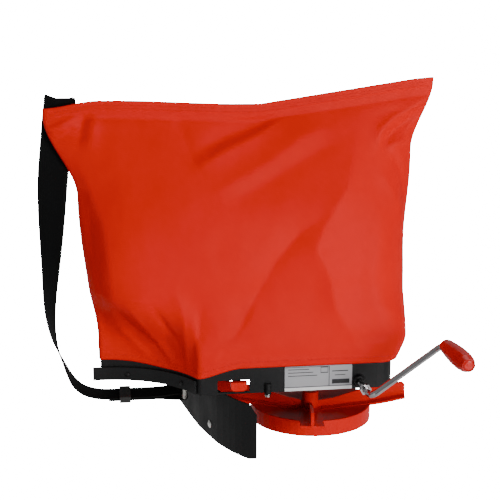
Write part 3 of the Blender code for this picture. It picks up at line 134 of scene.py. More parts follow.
floorLook = {"half": 7.0, "below": 0.16, "colour": (0.93, 0.93, 0.93), "glow": 30.0}
floorMesh = bpy.data.meshes.new("floor")
half = floorLook["half"]
floorZ = cadBox[0][2] - floorLook["below"]
floorCorners = [(-half, -half, floorZ), (half, -half, floorZ), (half, half, floorZ), (-half, half, floorZ)]
floorMesh.from_pydata(floorCorners, [], [(0, 1, 2, 3)])
floor = addObject("floor", floorMesh)
floorMaterial = bpy.data.materials.new("floor")
floorMaterial.use_nodes = True
floorShader = floorMaterial.node_tree.nodes["Principled BSDF"]
floorShader.inputs["Base Color"].default_value = (*floorLook["colour"], 1)
floorShader.inputs["Roughness"].default_value = 0.9
floorShader.inputs["Emission Color"].default_value = (1, 1, 1, 1)
seen = floorMaterial.node_tree.nodes.new("ShaderNodeLightPath")
glow = floorMaterial.node_tree.nodes.new("ShaderNodeMath")
glow.operation = "MULTIPLY"
glow.inputs[1].default_value = floorLook["glow"]
floorMaterial.node_tree.links.new(seen.outputs["Is Camera Ray"], glow.inputs[0])
floorMaterial.node_tree.links.new(glow.outputs[0], floorShader.inputs["Emission Strength"])
floorMesh.materials.append(floorMaterial)
print("camera, lights and floor made")


# materials
def startMaterial(name, colour, roughness, metallic=0.0):
    material = bpy.data.materials.new(name)
    material.use_nodes = True
    tree = material.node_tree
    shader = tree.nodes["Principled BSDF"]
    shader.inputs["Base Color"].default_value = (*colour, 1)
    shader.inputs["Roughness"].default_value = roughness
    shader.inputs["Metallic"].default_value = metallic
    material.diffuse_color = (*colour, 1)
    return material, tree, shader


def noiseNode(tree, coordinates, scale, detail=3.0, roughness=0.5):
    texture = tree.nodes.new("ShaderNodeTexNoise")
    texture.inputs["Scale"].default_value = scale
    texture.inputs["Detail"].default_value = detail
    texture.inputs["Roughness"].default_value = roughness
    tree.links.new(coordinates, texture.inputs["Vector"])
    return texture


def rangeNode(tree, value, low, high, fromLow=0.0, fromHigh=1.0):
    node = tree.nodes.new("ShaderNodeMapRange")
    node.inputs["From Min"].default_value = fromLow
    node.inputs["From Max"].default_value = fromHigh
    node.inputs["To Min"].default_value = low
    node.inputs["To Max"].default_value = high
    tree.links.new(value, node.inputs["Value"])
    return node.outputs["Result"]


def mixColour(tree, factor, first, second, target):
    node = tree.nodes.new("ShaderNodeMix")
    node.data_type = "RGBA"
    tree.links.new(factor, node.inputs["Factor"])
    for socket, value in (("A", first), ("B", second)):
        place = next(s for s in node.inputs if s.name == socket and s.type == "RGBA")
        if isinstance(value, tuple):
            place.default_value = (*value, 1)
        else:
            tree.links.new(value, place)
    result = next(s for s in node.outputs if s.type == "RGBA")
    tree.links.new(result, target)
    return result


def bumpNode(tree, height, strength, distance, normal=None):
    node = tree.nodes.new("ShaderNodeBump")
    node.inputs["Strength"].default_value = strength
    node.inputs["Distance"].default_value = distance
    tree.links.new(height, node.inputs["Height"])
    if normal is not None:
        tree.links.new(normal, node.inputs["Normal"])
    return node.outputs["Normal"]


def roundedEdges(tree, radius):
    node = tree.nodes.new("ShaderNodeBevel")
    node.samples = 4
    node.inputs["Radius"].default_value = radius
    return node.outputs["Normal"]


def mouldedPlastic(name, look):  # fine spark-eroded grain, dusty patches, rounded edges
    material, tree, shader = startMaterial(name, look["colour"], look["roughness"])
    place = tree.nodes.new("ShaderNodeTexCoord").outputs["Object"]
    grain = noiseNode(tree, place, look["grainScale"], 2.0)
    patches = noiseNode(tree, place, 22.0, 4.0)
    mixColour(tree, rangeNode(tree, patches.outputs["Fac"], 0.0, 1.0, 0.35, 0.7),
              look["colour"], look["worn"], shader.inputs["Base Color"])
    smoothest, roughest = look["roughness"] - 0.06, look["roughness"] + 0.1
    rough = rangeNode(tree, patches.outputs["Fac"], smoothest, roughest, 0.3, 0.7)
    tree.links.new(rough, shader.inputs["Roughness"])
    normal = bumpNode(tree, grain.outputs["Fac"], look["grain"], 0.0002, roundedEdges(tree, look["edge"]))
    tree.links.new(normal, shader.inputs["Normal"])
    shader.inputs["Specular IOR Level"].default_value = look.get("specular", 0.5)
    return material


def platedMetal(name, look):  # plating or machined metal with fine marks
    material, tree, shader = startMaterial(name, look["colour"], look["roughness"], 1.0)
    place = tree.nodes.new("ShaderNodeTexCoord").outputs["Object"]
    stretch = tree.nodes.new("ShaderNodeMapping")
    stretch.inputs["Scale"].default_value = look["stretch"]
    tree.links.new(place, stretch.inputs["Vector"])
    marks = noiseNode(tree, stretch.outputs["Vector"], look["markScale"], 4.0, 0.6)
    clouds = noiseNode(tree, place, 60.0, 3.0)
    mixColour(tree, rangeNode(tree, clouds.outputs["Fac"], 0.0, 1.0, 0.35, 0.7),
              look["colour"], look["dull"], shader.inputs["Base Color"])
    rough = rangeNode(tree, marks.outputs["Fac"], look["roughness"] * 0.7, look["roughness"] * 1.5, 0.3, 0.7)
    tree.links.new(rough, shader.inputs["Roughness"])
    normal = bumpNode(tree, marks.outputs["Fac"], look["marks"], 0.0001, roundedEdges(tree, 0.0004))
    tree.links.new(normal, shader.inputs["Normal"])
    return material


def wovenCloth(name, look):  # plain weave from the cloth's own UV map, in metres
    material, tree, shader = startMaterial(name, look["colour"], look["roughness"])
    uv = tree.nodes.new("ShaderNodeUVMap")
    uv.uv_map = "cloth"
    place = tree.nodes.new("ShaderNodeTexCoord").outputs["Object"]
    heights = []
    for direction in ("X", "Y"):
        wave = tree.nodes.new("ShaderNodeTexWave")
        wave.bands_direction = direction
        wave.inputs["Scale"].default_value = look["threads"][direction]
        wave.inputs["Distortion"].default_value = 0.4
        wave.inputs["Detail Scale"].default_value = 6.0
        tree.links.new(uv.outputs["UV"], wave.inputs["Vector"])
        heights.append(wave.outputs["Fac"])
    weave = tree.nodes.new("ShaderNodeMath")
    weave.operation = "MAXIMUM" if look["ribs"] else "MULTIPLY"
    tree.links.new(heights[0], weave.inputs[0])
    tree.links.new(heights[1], weave.inputs[1])
    clouds = noiseNode(tree, place, look["cloudScale"], 4.0, 0.55)
    slub = noiseNode(tree, uv.outputs["UV"], 900.0, 2.0)
    tone = mixColour(tree, rangeNode(tree, clouds.outputs["Fac"], 0.0, 1.0, 0.3, 0.72),
                     look["colour"], look["second"], shader.inputs["Base Color"])
    # painted shade: the gaps between the threads are mixed towards a darker colour by the weave pattern
    mixColour(tree, rangeNode(tree, weave.outputs[0], look["threadShade"], 0.0), tone, look["gapShade"],
              shader.inputs["Base Color"])
    smoothest, roughest = look["roughness"] - 0.05, look["roughness"] + 0.08
    rough = rangeNode(tree, slub.outputs["Fac"], smoothest, roughest, 0.3, 0.7)
    tree.links.new(rough, shader.inputs["Roughness"])
    creases = noiseNode(tree, place, look["creaseScale"], 5.0, 0.62)
    soft = bumpNode(tree, creases.outputs["Fac"], look["creases"], 0.004)
    normal = bumpNode(tree, weave.outputs[0], look["weave"], 0.00012, soft)
    tree.links.new(normal, shader.inputs["Normal"])
    shader.inputs["Specular IOR Level"].default_value = look["specular"]
    shader.inputs["Sheen Weight"].default_value = look["sheen"]
    shader.inputs["Sheen Roughness"].default_value = 0.4
    shader.inputs["Sheen Tint"].default_value = (*look["sheenColour"], 1)
    return material


def plasticLook(colour, worn, roughness, grain=0.25, edge=0.0006, grainScale=2600.0, specular=0.2):
    return {"colour": colour, "worn": worn, "roughness": roughness, "grain": grain, "edge": edge,
            "grainScale": grainScale, "specular": specular}


def metalLook(colour, dull, roughness, stretch=(1, 1, 1), marks=0.12, markScale=700.0):
    return {"colour": colour, "dull": dull, "roughness": roughness, "stretch": stretch, "marks": marks,
            "markScale": markScale}


blackPlastic = mouldedPlastic(
    "blackPlastic", plasticLook((0.005, 0.005, 0.0053), (0.009, 0.009, 0.0095), 0.44, specular=0.2))
shieldPlastic = mouldedPlastic(
    "shieldPlastic", plasticLook((0.005, 0.005, 0.0053), (0.009, 0.009, 0.0095), 0.5, specular=0.16))
slidePlastic = mouldedPlastic("slidePlastic", plasticLook((0.02, 0.02, 0.02), (0.026, 0.026, 0.026), 0.42))
impellerPlastic = mouldedPlastic(
    "impellerPlastic", plasticLook((0.6, 0.005, 0.0015), (0.64, 0.007, 0.002), 0.36, 0.1, specular=0.12))
leverPlastic = mouldedPlastic(
    "leverPlastic", plasticLook((0.64, 0.008, 0.002), (0.68, 0.01, 0.003), 0.36, 0.1, specular=0.12))
gripPlastic = mouldedPlastic(
    "gripPlastic", plasticLook((0.5, 0.004, 0.001), (0.54, 0.005, 0.0015), 0.24, 0.06, specular=0.35))
nylon = mouldedPlastic("nylon", plasticLook((0.72, 0.7, 0.64), (0.66, 0.63, 0.57), 0.42, 0.1))
chromePlate = platedMetal(
    "chromePlate", metalLook((0.46, 0.45, 0.455), (0.36, 0.35, 0.355), 0.12, marks=0.04))
zincPlate = platedMetal("zincPlate", metalLook((0.5, 0.49, 0.46), (0.36, 0.35, 0.32), 0.34))
brightMetal = platedMetal("brightMetal", metalLook((0.82, 0.81, 0.79), (0.7, 0.69, 0.66), 0.22))
bronze = platedMetal("bronze", metalLook((0.46, 0.29, 0.12), (0.36, 0.22, 0.09), 0.4))
labelFilm = mouldedPlastic(
    "labelFilm", plasticLook((0.36, 0.36, 0.375), (0.33, 0.33, 0.345), 0.36, 0.04, 0.0002))
labelWhite = mouldedPlastic(
    "labelWhite", plasticLook((0.74, 0.74, 0.74), (0.68, 0.68, 0.68), 0.36, 0.04, 0.0001))
labelDark = mouldedPlastic(
    "labelDark", plasticLook((0.02, 0.02, 0.022), (0.03, 0.03, 0.032), 0.4, 0.04, 0.0001))
bagCloth = wovenCloth("bagCloth", {
    "colour": (0.72, 0.0065, 0.0022), "second": (0.64, 0.005, 0.0016), "gapShade": (0.5, 0.003, 0.001),
    "roughness": 0.52, "threads": {"X": 330.0, "Y": 330.0}, "ribs": False, "threadShade": 0.2,
    "cloudScale": 5.0, "creaseScale": 16.0, "creases": 0.2, "weave": 0.35, "sheen": 0.0, "specular": 0.09,
    "sheenColour": (1.0, 0.4, 0.25)})
threadCloth = wovenCloth("threadCloth", {
    "colour": (0.6, 0.006, 0.002), "second": (0.52, 0.005, 0.0015), "gapShade": (0.3, 0.002, 0.0008),
    "roughness": 0.6, "threads": {"X": 900.0, "Y": 900.0}, "ribs": False, "threadShade": 0.2,
    "cloudScale": 30.0, "creaseScale": 60.0, "creases": 0.02, "weave": 0.2, "sheen": 0.03, "specular": 0.3,
    "sheenColour": (1.0, 0.4, 0.25)})
webbing = wovenCloth("webbing", {
    "colour": (0.002, 0.002, 0.0021), "second": (0.003, 0.003, 0.0032), "gapShade": (0.0008, 0.0008, 0.0008),
    "roughness": 0.72, "threads": {"X": 110.0, "Y": 200.0}, "ribs": True, "threadShade": 0.55,
    "cloudScale": 26.0, "creaseScale": 40.0, "creases": 0.05, "weave": 0.8, "sheen": 0.0, "specular": 0.1,
    "sheenColour": (0.5, 0.5, 0.5)})

finishes = {
    blackPlastic: ["hopper_tray", "hopper_floor", "belly_rest", "belly_rivet_1", "belly_rivet_2",
                   "gear_case", "gear_case_cover",
                   "crank_bush", "outlet_chute", "gate_guide"],
    shieldPlastic: ["deflector_shield"],
    slidePlastic: ["strap_slide"],
    impellerPlastic: ["impeller"],
    leverPlastic: ["gate_lever"],
    gripPlastic: ["crank_grip", "grip_cap"],
    nylon: ["counter_spur_gear"],
    chromePlate: ["crank_rod", "crank_nut"],
    brightMetal: ["shield_rivet", "shield_screw"],
    bronze: ["impeller_upper_bush", "impeller_lower_bush", "counter_upper_bush", "counter_lower_bush",
             "crank_inner_bush"],
    labelFilm: ["front_label"],
    webbing: ["zip_pull"],
    zincPlate: ["case_screw_1", "case_screw_2", "case_screw_3", "case_screw_4", "countershaft",
                "counter_bevel_gear", "crank_bevel_gear", "impeller_pinion", "impeller_shaft",
                "impeller_nut",
                "impeller_washer", "agitator", "flow_gate", "shield_bracket", "front_strap_bail",
                "rear_strap_bail", "crank_retainer", "zip_slider", "zip_stop_left", "zip_stop_right"],
}
for material, names in finishes.items():
    for name in names:
        slots = nodes[name].data.materials
        if len(slots) == 0:
            slots.append(material)
        for number in range(len(slots)):
            slots[number] = material
print("materials made")


# bag
bagLook = {
    "columns": 165, "rows": 118, "fabric": 0.0011, "foldStrength": 1.25, "wrinkle": 0.9, "pucker": 0.22,
    "hemOut": 0.8, "hemDeep": 10.6,
}


def pathOf(points):  # cumulative shares of a plan path's length
    points = np.array(points, float)
    runs = np.concatenate([[0], np.cumsum(np.hypot(*np.diff(points, axis=0).T))])
    return points, runs / runs[-1]


def arcOf(cx, cy, radius, first, last, steps):
    return [(cx + radius * math.cos(math.radians(a)), cy + radius * math.sin(math.radians(a)))
            for a in np.linspace(first, last, steps)]


offset = 1.75  # from the tray's wall to the middle of the cloth
leftEnd = (-273 - offset, 5.0)
rightEnd = (93 + offset, 0.0)
frontPath = [leftEnd, (-274.5, 2.6), (-273.4, 0.9)] + arcOf(-271, -126, 128 - offset, 90, 26.5, 20)
frontPath += [(-155.4, -75.6), (-152.2, -77.3), (-148.0, -76 - offset)]
frontPath += arcOf(69, -52, 24 + offset, -90, 0, 9) + [rightEnd]
backPath = [leftEnd] + arcOf(-253, 56, 20 + offset, 180, 90, 8)
backPath += arcOf(69, 52, 24 + offset, 90, 0, 9) + [rightEnd]


def topHeight(x):
    left = 414 - 9 * ease(-265, -333, x) - 5 * ease(-250, -90, x)
    slope = 29 / 190
    straight = 407 + slope * (np.minimum(x, 130) + 80) + 0.6 * slope * np.maximum(x - 130, 0)
    return np.where(x > -120, np.maximum(left, straight), left)


def bagReach(share):  # left and right ends at a share of the height
    left = -279 - 16 * ease(0.05, 0.65, share) - 38 * ease(0.66, 0.97, share)
    right = 93 + 26 * ease(-0.05, 0.08, share) + 8 * ease(0.35, 0.7, share) + 27 * ease(0.74, 0.99, share)
    return left, right


def stadium(left, right, half, along):
    arc = math.pi * half / 2
    flat = np.maximum(right - left - 2 * half, 0)
    total = flat + 2 * arc
    place = along * total
    firstAngle = place / half
    lastAngle = (total - place) / half
    x = np.where(place < arc, left + half - half * np.cos(firstAngle),
                 np.where(place < arc + flat, left + half + place - arc,
                          right - half + half * np.cos(lastAngle)))
    y = np.where(place < arc, half * np.sin(firstAngle),
                 np.where(place < arc + flat, half, half * np.sin(lastAngle)))
    return x, y


def bagSurface(share, along, side):  # grids of x, y, z in millimetres for the front (-1) or back (1) panel
    left, right = bagReach(share)
    closing = np.clip((share - 0.3) / 0.635, 0, 1)
    half = 3.8 + 64.2 * np.cos(math.pi / 2 * closing)
    roundX, roundY = stadium(left, right, half, along)
    spread = np.abs(2 * along - 1)
    thinX = left + (right - left) * along
    thinY = half * (1 - spread ** 4) ** 0.8
    thinness = ease(0.3, 0.72, share) * (1 - ease(0.88, 0.935, share))
    sectionX = roundX + (thinX - roundX) * thinness
    sectionY = side * (roundY + (thinY - roundY) * thinness)
    points, shares = pathOf(frontPath if side < 0 else backPath)
    baseX = np.interp(along, shares, points[:, 0])
    baseY = np.interp(along, shares, points[:, 1])
    baseX = baseX + (right - 93) * ease(0.72, 1.0, along)
    mix = ease(0.065, 0.3, share)
    x = baseX + (sectionX - baseX) * mix
    y = baseY + (sectionY - baseY) * mix
    topX = stadium(-333.0, 154.0, 3.0, along + 0 * share)[0]
    high = topHeight(topX)
    low = 93 - 12 * ease(-100, -160, baseX) * ease(30, -30, baseY)
    return x, y, low + (high - low) * share, high - low


frontFolds = [  # centre line in x and z, height, width, sharpness
    ([(-282, 404), (-286, 386), (-291, 362)], -3.4, 7.0, 1.5),
    ([(-271, 402), (-273, 384), (-279, 356)], 2.2, 9.0, 1.6),
    ([(-326, 381), (-311, 386), (-289, 401)], 2.6, 6.0, 1.4),
    ([(-322, 371), (-306, 374), (-292, 382)], -2.6, 6.0, 1.5),
    ([(-172, 392), (-164, 374), (-155, 350), (-146, 330)], -2.0, 9.0, 1.4),
    ([(-150, 334), (-120, 350), (-84, 366), (-40, 390)], 4.2, 11.0, 1.3),
    ([(-152, 348), (-116, 368), (-76, 382), (-40, 396)], -4.4, 13.0, 1.5),
    ([(-129, 306), (-92, 322), (-57, 342), (-20, 366), (20, 384)], 2.6, 15.0, 1.3),
    ([(-120, 292), (-84, 306), (-40, 330), (0, 352), (44, 372)], -2.4, 17.0, 1.5),
    ([(-289, 330), (-276, 300), (-264, 268), (-258, 230), (-255, 168)], 2.6, 14.0, 1.3),
    ([(-294, 300), (-284, 262), (-277, 225), (-272, 170), (-268, 128)], -2.8, 13.0, 1.5),
    ([(-168, 82), (-178, 108), (-192, 140), (-206, 168)], -3.4, 5.5, 1.2),
    ([(-176, 80), (-197, 112), (-218, 142), (-238, 172)], 2.4, 6.5, 1.3),
    ([(-186, 82), (-214, 112), (-238, 142), (-254, 166)], -2.8, 6.0, 1.3),
    ([(-208, 90), (-232, 114), (-252, 140)], 2.2, 6.5, 1.4),
    ([(-163, 82), (-156, 112), (-152, 146), (-150, 170)], -2.2, 7.0, 1.3),
    ([(-168, 80), (-166, 110), (-170, 150), (-180, 190)], 2.6, 8.0, 1.3),
    ([(-150, 88), (-118, 118), (-92, 150), (-74, 186)], 2.2, 12.0, 1.4),
    ([(-136, 94), (-107, 135), (-84, 176), (-58, 222), (-27, 256), (12, 278)], -4.4, 15.0, 1.2),
    ([(47, 350), (34, 307), (4, 265), (-8, 236), (10, 198), (16, 162), (45, 114)], 4.6, 20.0, 1.2),
    ([(66, 300), (52, 250), (48, 210), (56, 150)], -1.4, 16.0, 1.6),
    ([(78, 362), (84, 377), (99, 390), (122, 402), (146, 412)], 3.4, 6.0, 1.4),
    ([(84, 352), (98, 372), (116, 384), (138, 394)], -3.4, 6.5, 1.5),
    ([(90, 358), (107, 359), (122, 366), (132, 374)], 3.2, 6.0, 1.4),
    ([(104, 418), (112, 422), (124, 427)], -1.4, 4.0, 1.5),
    ([(96, 346), (108, 330), (116, 306), (114, 280)], -2.4, 7.0, 1.5),
    ([(78, 330), (92, 306), (104, 280), (108, 246)], 1.6, 10.0, 1.5),
    ([(112, 128), (98, 150), (70, 166), (30, 172)], 1.4, 14.0, 1.6),
    ([(104, 104), (80, 116), (48, 122), (10, 120)], -1.4, 12.0, 1.6),
    ([(-220, 250), (-190, 236), (-150, 230), (-100, 236)], -1.0, 22.0, 1.8),
]
backFolds = [
    ([(-250, 390), (-230, 360), (-190, 320), (-140, 290)], 3.2, 14.0, 1.3),
    ([(-262, 372), (-240, 340), (-204, 300), (-160, 262)], -3.2, 14.0, 1.4),
    ([(110, 400), (80, 350), (40, 310), (-20, 280)], 3.4, 14.0, 1.3),
    ([(120, 380), (96, 330), (60, 286), (10, 250)], -3.4, 15.0, 1.4),
    ([(-60, 396), (-70, 350), (-60, 300), (-70, 240)], -2.4, 18.0, 1.4),
    ([(-20, 398), (-24, 350), (-10, 290), (-16, 220)], 2.2, 18.0, 1.4),
    ([(-250, 110), (-220, 160), (-180, 200), (-120, 230)], 3.0, 14.0, 1.3),
    ([(-230, 100), (-196, 140), (-150, 176), (-90, 200)], -2.6, 13.0, 1.3),
    ([(84, 104), (50, 150), (10, 186), (-50, 206)], 2.8, 14.0, 1.3),
    ([(60, 98), (24, 132), (-20, 156), (-70, 166)], -2.4, 13.0, 1.3),
]


def foldHeights(x, z, folds):
    total = np.zeros_like(x)
    for line, height, width, power in folds:
        line = np.array(line, float)
        runs = np.concatenate([[0], np.cumsum(np.hypot(*np.diff(line, axis=0).T))])
        best = np.full(x.shape, 1e9)
        share = np.zeros_like(x)
        for first, second, start in zip(line, line[1:], runs):
            step = second - first
            length = math.hypot(*step)
            t = ((x - first[0]) * step[0] + (z - first[1]) * step[1]) / length ** 2
            t = np.clip(t, 0, 1)
            distance = np.hypot(x - first[0] - t * step[0], z - first[1] - t * step[1])
            closer = distance < best
            best = np.where(closer, distance, best)
            share = np.where(closer, (start + t * length) / runs[-1], share)
        fade = np.clip(ease(-0.12, 0.25, share) * ease(1.12, 0.72, share), 0, 1)
        total += height * fade * np.exp(-(best / width) ** power)
    return total


def bagPanel(side):  # finished panel points in metres, with the height above the hem's edge
    rows = np.concatenate([np.linspace(0, 0.06, 9)[:-1], np.linspace(0.06, 0.9, bagLook["rows"] - 33)[:-1],
                           np.linspace(0.9, 1.0, 27)])
    share = rows[:, None]
    along = np.linspace(0, 1, bagLook["columns"] + 1)[None, :]
    x, y, z, tall = bagSurface(share, along, side)
    share = share + 0 * x
    along = along + 0 * x
    points = np.stack([x, y, z], -1)
    across = np.gradient(points, axis=1)
    up = np.gradient(points, axis=0)
    normal = np.cross(across, up)
    normal /= np.maximum(np.linalg.norm(normal, axis=-1, keepdims=True), 1e-9)
    normal *= np.where(np.sum(normal[:, 40:-40, 1]) * side > 0, 1, -1)
    drop = tall * (1 - share)
    seam = ease(0.0, 0.05, along) * ease(1.0, 0.95, along)
    band = 1 - ease(12.0, 22.0, drop)
    foot = ease(0.0, 24.0, tall * share)
    folds = foldHeights(x, z, frontFolds if side < 0 else backFolds) * bagLook["foldStrength"]
    small = np.array([noise.fractal(Vector((px / 46, pz / 60, 3.0 * side)), 0.9, 2.1, 3)
                      for px, pz in zip(x.ravel(), z.ravel())]).reshape(x.shape)
    out = (folds + small * bagLook["wrinkle"]) * seam * (1 - 0.85 * band) * (0.12 + 0.88 * foot)
    pucker = np.sin(x * 0.71 + 1.7 * np.sin(x * 0.13)) * bagLook["pucker"]
    out += pucker * np.exp(-((drop - bagLook["hemDeep"]) / 5) ** 2) * seam
    out += pucker * np.exp(-((tall * share - 8) / 6) ** 2) * seam * 0.8
    hem = 1 - ease(bagLook["hemDeep"] - 0.6, bagLook["hemDeep"] + 0.6, drop)
    groove = np.exp(-((drop - 5.4) / 0.9) ** 2)
    out += (hem * bagLook["hemOut"] - 0.55 * groove) * seam
    footHem = 1 - ease(9.4, 10.6, tall * share)
    out += 0.5 * footHem * seam
    out = np.maximum(out, -0.2 - 7.0 * ease(116.0, 152.0, z))  # the tray's rim holds the cloth out
    points = points + normal * out[..., None]
    return points, drop, tall * share


panels = {side: bagPanel(side) for side in (-1, 1)}


def toWorld(points):
    return points / 1000 + np.array(axisPoint)


def makeBag():
    front = toWorld(panels[-1][0])
    back = toWorld(panels[1][0])[:, -2:0:-1]
    grid = np.concatenate([front, back], axis=1)
    rows, columns = grid.shape[:2]
    index = np.arange(rows * columns).reshape(rows, columns)
    nextColumn = np.roll(index, -1, axis=1)
    faces = np.stack([index[:-1], nextColumn[:-1], nextColumn[1:], index[1:]], -1).reshape(-1, 4)
    mesh = bpy.data.meshes.new("bagCloth")
    mesh.from_pydata(grid.reshape(-1, 3).tolist(), [], faces.tolist())
    runs = np.concatenate([[0], np.cumsum(np.linalg.norm(np.diff(grid[60], axis=0), axis=-1))])
    layer = mesh.uv_layers.new(name="cloth")
    corners = np.empty(len(mesh.loops), int)
    mesh.loops.foreach_get("vertex_index", corners)
    u = runs[corners % columns]
    v = grid.reshape(-1, 3)[corners, 2]
    layer.data.foreach_set("uv", np.stack([u, v], -1).ravel())
    item = addObject("bagCloth", mesh)
    mesh.shade_smooth()
    mesh.materials.append(bagCloth)
    shell = item.modifiers.new("Fabric", "SOLIDIFY")
    shell.thickness = bagLook["fabric"]
    shell.offset = -1
    shell.use_even_offset = False
    return item


bag = makeBag()
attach(bag, "hopper")
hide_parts("bag_front", "bag_back")
print("bag made")


# repeated pieces along lines
def alongLines(name, lines, values, material):  # small pieces set along polylines with Geometry Nodes
    mesh = bpy.data.meshes.new(name + "Lines")
    verts, edges = [], []
    for line in lines:
        edges += [(len(verts) + k, len(verts) + k + 1) for k in range(len(line) - 1)]
        verts += [tuple(point) for point in line]
    mesh.from_pydata(verts, edges, [])
    guide = addObject(name + "Guide", mesh)
    group = bpy.data.node_groups.new(name + "Nodes", "GeometryNodeTree")
    sockets = {}
    for label, kind in (("Geometry", "NodeSocketGeometry"), ("Gap", "NodeSocketFloat"),
                        ("Size", "NodeSocketVector"), ("Stagger", "NodeSocketVector"),
                        ("Material", "NodeSocketMaterial")):
        sockets[label] = group.interface.new_socket(label, in_out="INPUT", socket_type=kind)
    group.interface.new_socket("Geometry", in_out="OUTPUT", socket_type="NodeSocketGeometry")
    make = group.nodes.new
    link = group.links.new
    start = make("NodeGroupInput")
    toCurve = make("GeometryNodeMeshToCurve")
    resample = make("GeometryNodeResampleCurve")
    resample.mode = "LENGTH"
    link(start.outputs["Geometry"], toCurve.inputs["Mesh"])
    link(toCurve.outputs["Curve"], resample.inputs["Curve"])
    link(start.outputs["Gap"], resample.inputs["Length"])
    parity = make("ShaderNodeMath")
    parity.operation = "MODULO"
    parity.inputs[1].default_value = 2
    link(make("GeometryNodeInputIndex").outputs["Index"], parity.inputs[0])
    swing = make("ShaderNodeMath")
    swing.operation = "MULTIPLY_ADD"
    swing.inputs[1].default_value = 2
    swing.inputs[2].default_value = -1
    link(parity.outputs[0], swing.inputs[0])
    shift = make("ShaderNodeVectorMath")
    shift.operation = "SCALE"
    link(start.outputs["Stagger"], shift.inputs[0])
    link(swing.outputs[0], shift.inputs["Scale"])
    turn = make("FunctionNodeAlignRotationToVector")
    turn.axis = "X"
    link(make("GeometryNodeInputTangent").outputs["Tangent"], turn.inputs["Vector"])
    place = make("GeometryNodeSetPosition")
    link(resample.outputs["Curve"], place.inputs["Geometry"])
    link(shift.outputs["Vector"], place.inputs["Offset"])
    if values["shape"] == "stitch":
        seed = make("GeometryNodeMeshUVSphere")
        seed.inputs["Segments"].default_value = 6
        seed.inputs["Rings"].default_value = 4
        seed.inputs["Radius"].default_value = 0.5
    else:
        seed = make("GeometryNodeMeshCube")
        seed.inputs["Size"].default_value = (1, 1, 1)
    instance = make("GeometryNodeInstanceOnPoints")
    link(place.outputs["Geometry"], instance.inputs["Points"])
    link(seed.outputs["Mesh"], instance.inputs["Instance"])
    link(turn.outputs["Rotation"], instance.inputs["Rotation"])
    link(start.outputs["Size"], instance.inputs["Scale"])
    real = make("GeometryNodeRealizeInstances")
    link(instance.outputs["Instances"], real.inputs["Geometry"])
    paint = make("GeometryNodeSetMaterial")
    link(real.outputs["Geometry"], paint.inputs["Geometry"])
    link(start.outputs["Material"], paint.inputs["Material"])
    end = make("NodeGroupOutput")
    link(paint.outputs["Geometry"], end.inputs["Geometry"])
    change = guide.modifiers.new("Along", "NODES")
    change.node_group = group
    change[sockets["Gap"].identifier] = values["gap"]
    change[sockets["Size"].identifier] = values["size"]
    change[sockets["Stagger"].identifier] = values["stagger"]
    change[sockets["Material"].identifier] = material
    bpy.context.view_layer.update()
    graph = bpy.context.evaluated_depsgraph_get()
    result = bpy.data.meshes.new_from_object(guide.evaluated_get(graph))
    result.name = name
    bpy.data.objects.remove(guide, do_unlink=True)
    result.materials.clear()
    result.materials.append(material)
    item = addObject(name, result)
    result.shade_smooth() if values["shape"] == "stitch" else result.shade_flat()
    return item


def rowAtDrop(side, wanted, fromTop=True, lift=0.12):  # line below the upper edge or above the lower one
    points, drop, rise = panels[side]
    measure = drop if fromTop else rise
    line = []
    for column in range(6, points.shape[1] - 6):
        values = measure[:, column]
        order = np.argsort(values)
        place = [np.interp(wanted, values[order], points[order, column, axis]) for axis in range(3)]
        place[1] += side * lift
        line.append(tuple(toWorld(np.array(place))))
    return line


stitchLook = {"shape": "stitch", "gap": 0.0034, "size": (0.0026, 0.00055, 0.00055), "stagger": (0, 0, 0)}
stitchLines = []
for side in (-1, 1):
    stitchLines.append(rowAtDrop(side, 5.4))
    stitchLines.append(rowAtDrop(side, 9.4))
    stitchLines.append(rowAtDrop(side, 7.6, fromTop=False))
bagStitches = alongLines("bagStitches", stitchLines, stitchLook, threadCloth)
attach(bagStitches, "hopper")

zipJoint = next(joint for joint in frame["joints"] if joint["name"] == "zip_slide")
zipWay = Vector(zipJoint["axis"]).normalized()
chainLow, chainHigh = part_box("zip_chain")
chainCentre = (chainLow + chainHigh) / 2
chainHalf = (chainHigh.x - chainLow.x) / 2 / zipWay.x - 0.0015
zipUp = Vector((-zipWay.z, 0, zipWay.x))
teethLook = {"shape": "tooth", "gap": 0.0011, "size": (0.0009, 0.0015, 0.0026),
             "stagger": tuple(zipUp * 0.0006)}
zipTeeth = alongLines("zipTeeth", [[chainCentre - zipWay * chainHalf, chainCentre + zipWay * chainHalf]],
                      teethLook, zincPlate)
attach(zipTeeth, "hopper")
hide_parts("zip_chain")
print("stitches and zip teeth made")


# zip tape: a ribbon of cloth behind the teeth
def ribbon(name, centres, widths, normals, width, thick, material, across=6, bulge=0.0):
    verts, faces, uvs = [], [], []
    run = 0.0
    for k, (centre, side, normal) in enumerate(zip(centres, widths, normals)):
        if k:
            run += (centre - centres[k - 1]).length
        for j in range(across + 1):
            share = j / across - 0.5
            verts.append(centre + side * width * share + normal * bulge * (1 - 4 * share * share))
            uvs.append((share * width, run))
    for k in range(len(centres) - 1):
        for j in range(across):
            a = k * (across + 1) + j
            faces.append((a, a + 1, a + across + 2, a + across + 1))
    mesh = bpy.data.meshes.new(name)
    mesh.from_pydata([tuple(vert) for vert in verts], [], faces)
    layer = mesh.uv_layers.new(name="cloth")
    for loop in mesh.loops:
        layer.data[loop.index].uv = uvs[loop.vertex_index]
    mesh.shade_smooth()
    mesh.materials.append(material)
    item = addObject(name, mesh)
    shell = item.modifiers.new("Thickness", "SOLIDIFY")
    shell.thickness = thick
    shell.offset = 0
    edge = item.modifiers.new("Edge", "BEVEL")
    edge.width = thick * 0.3
    edge.segments = 2
    edge.limit_method = "ANGLE"
    edge.angle_limit = math.radians(60)
    return item


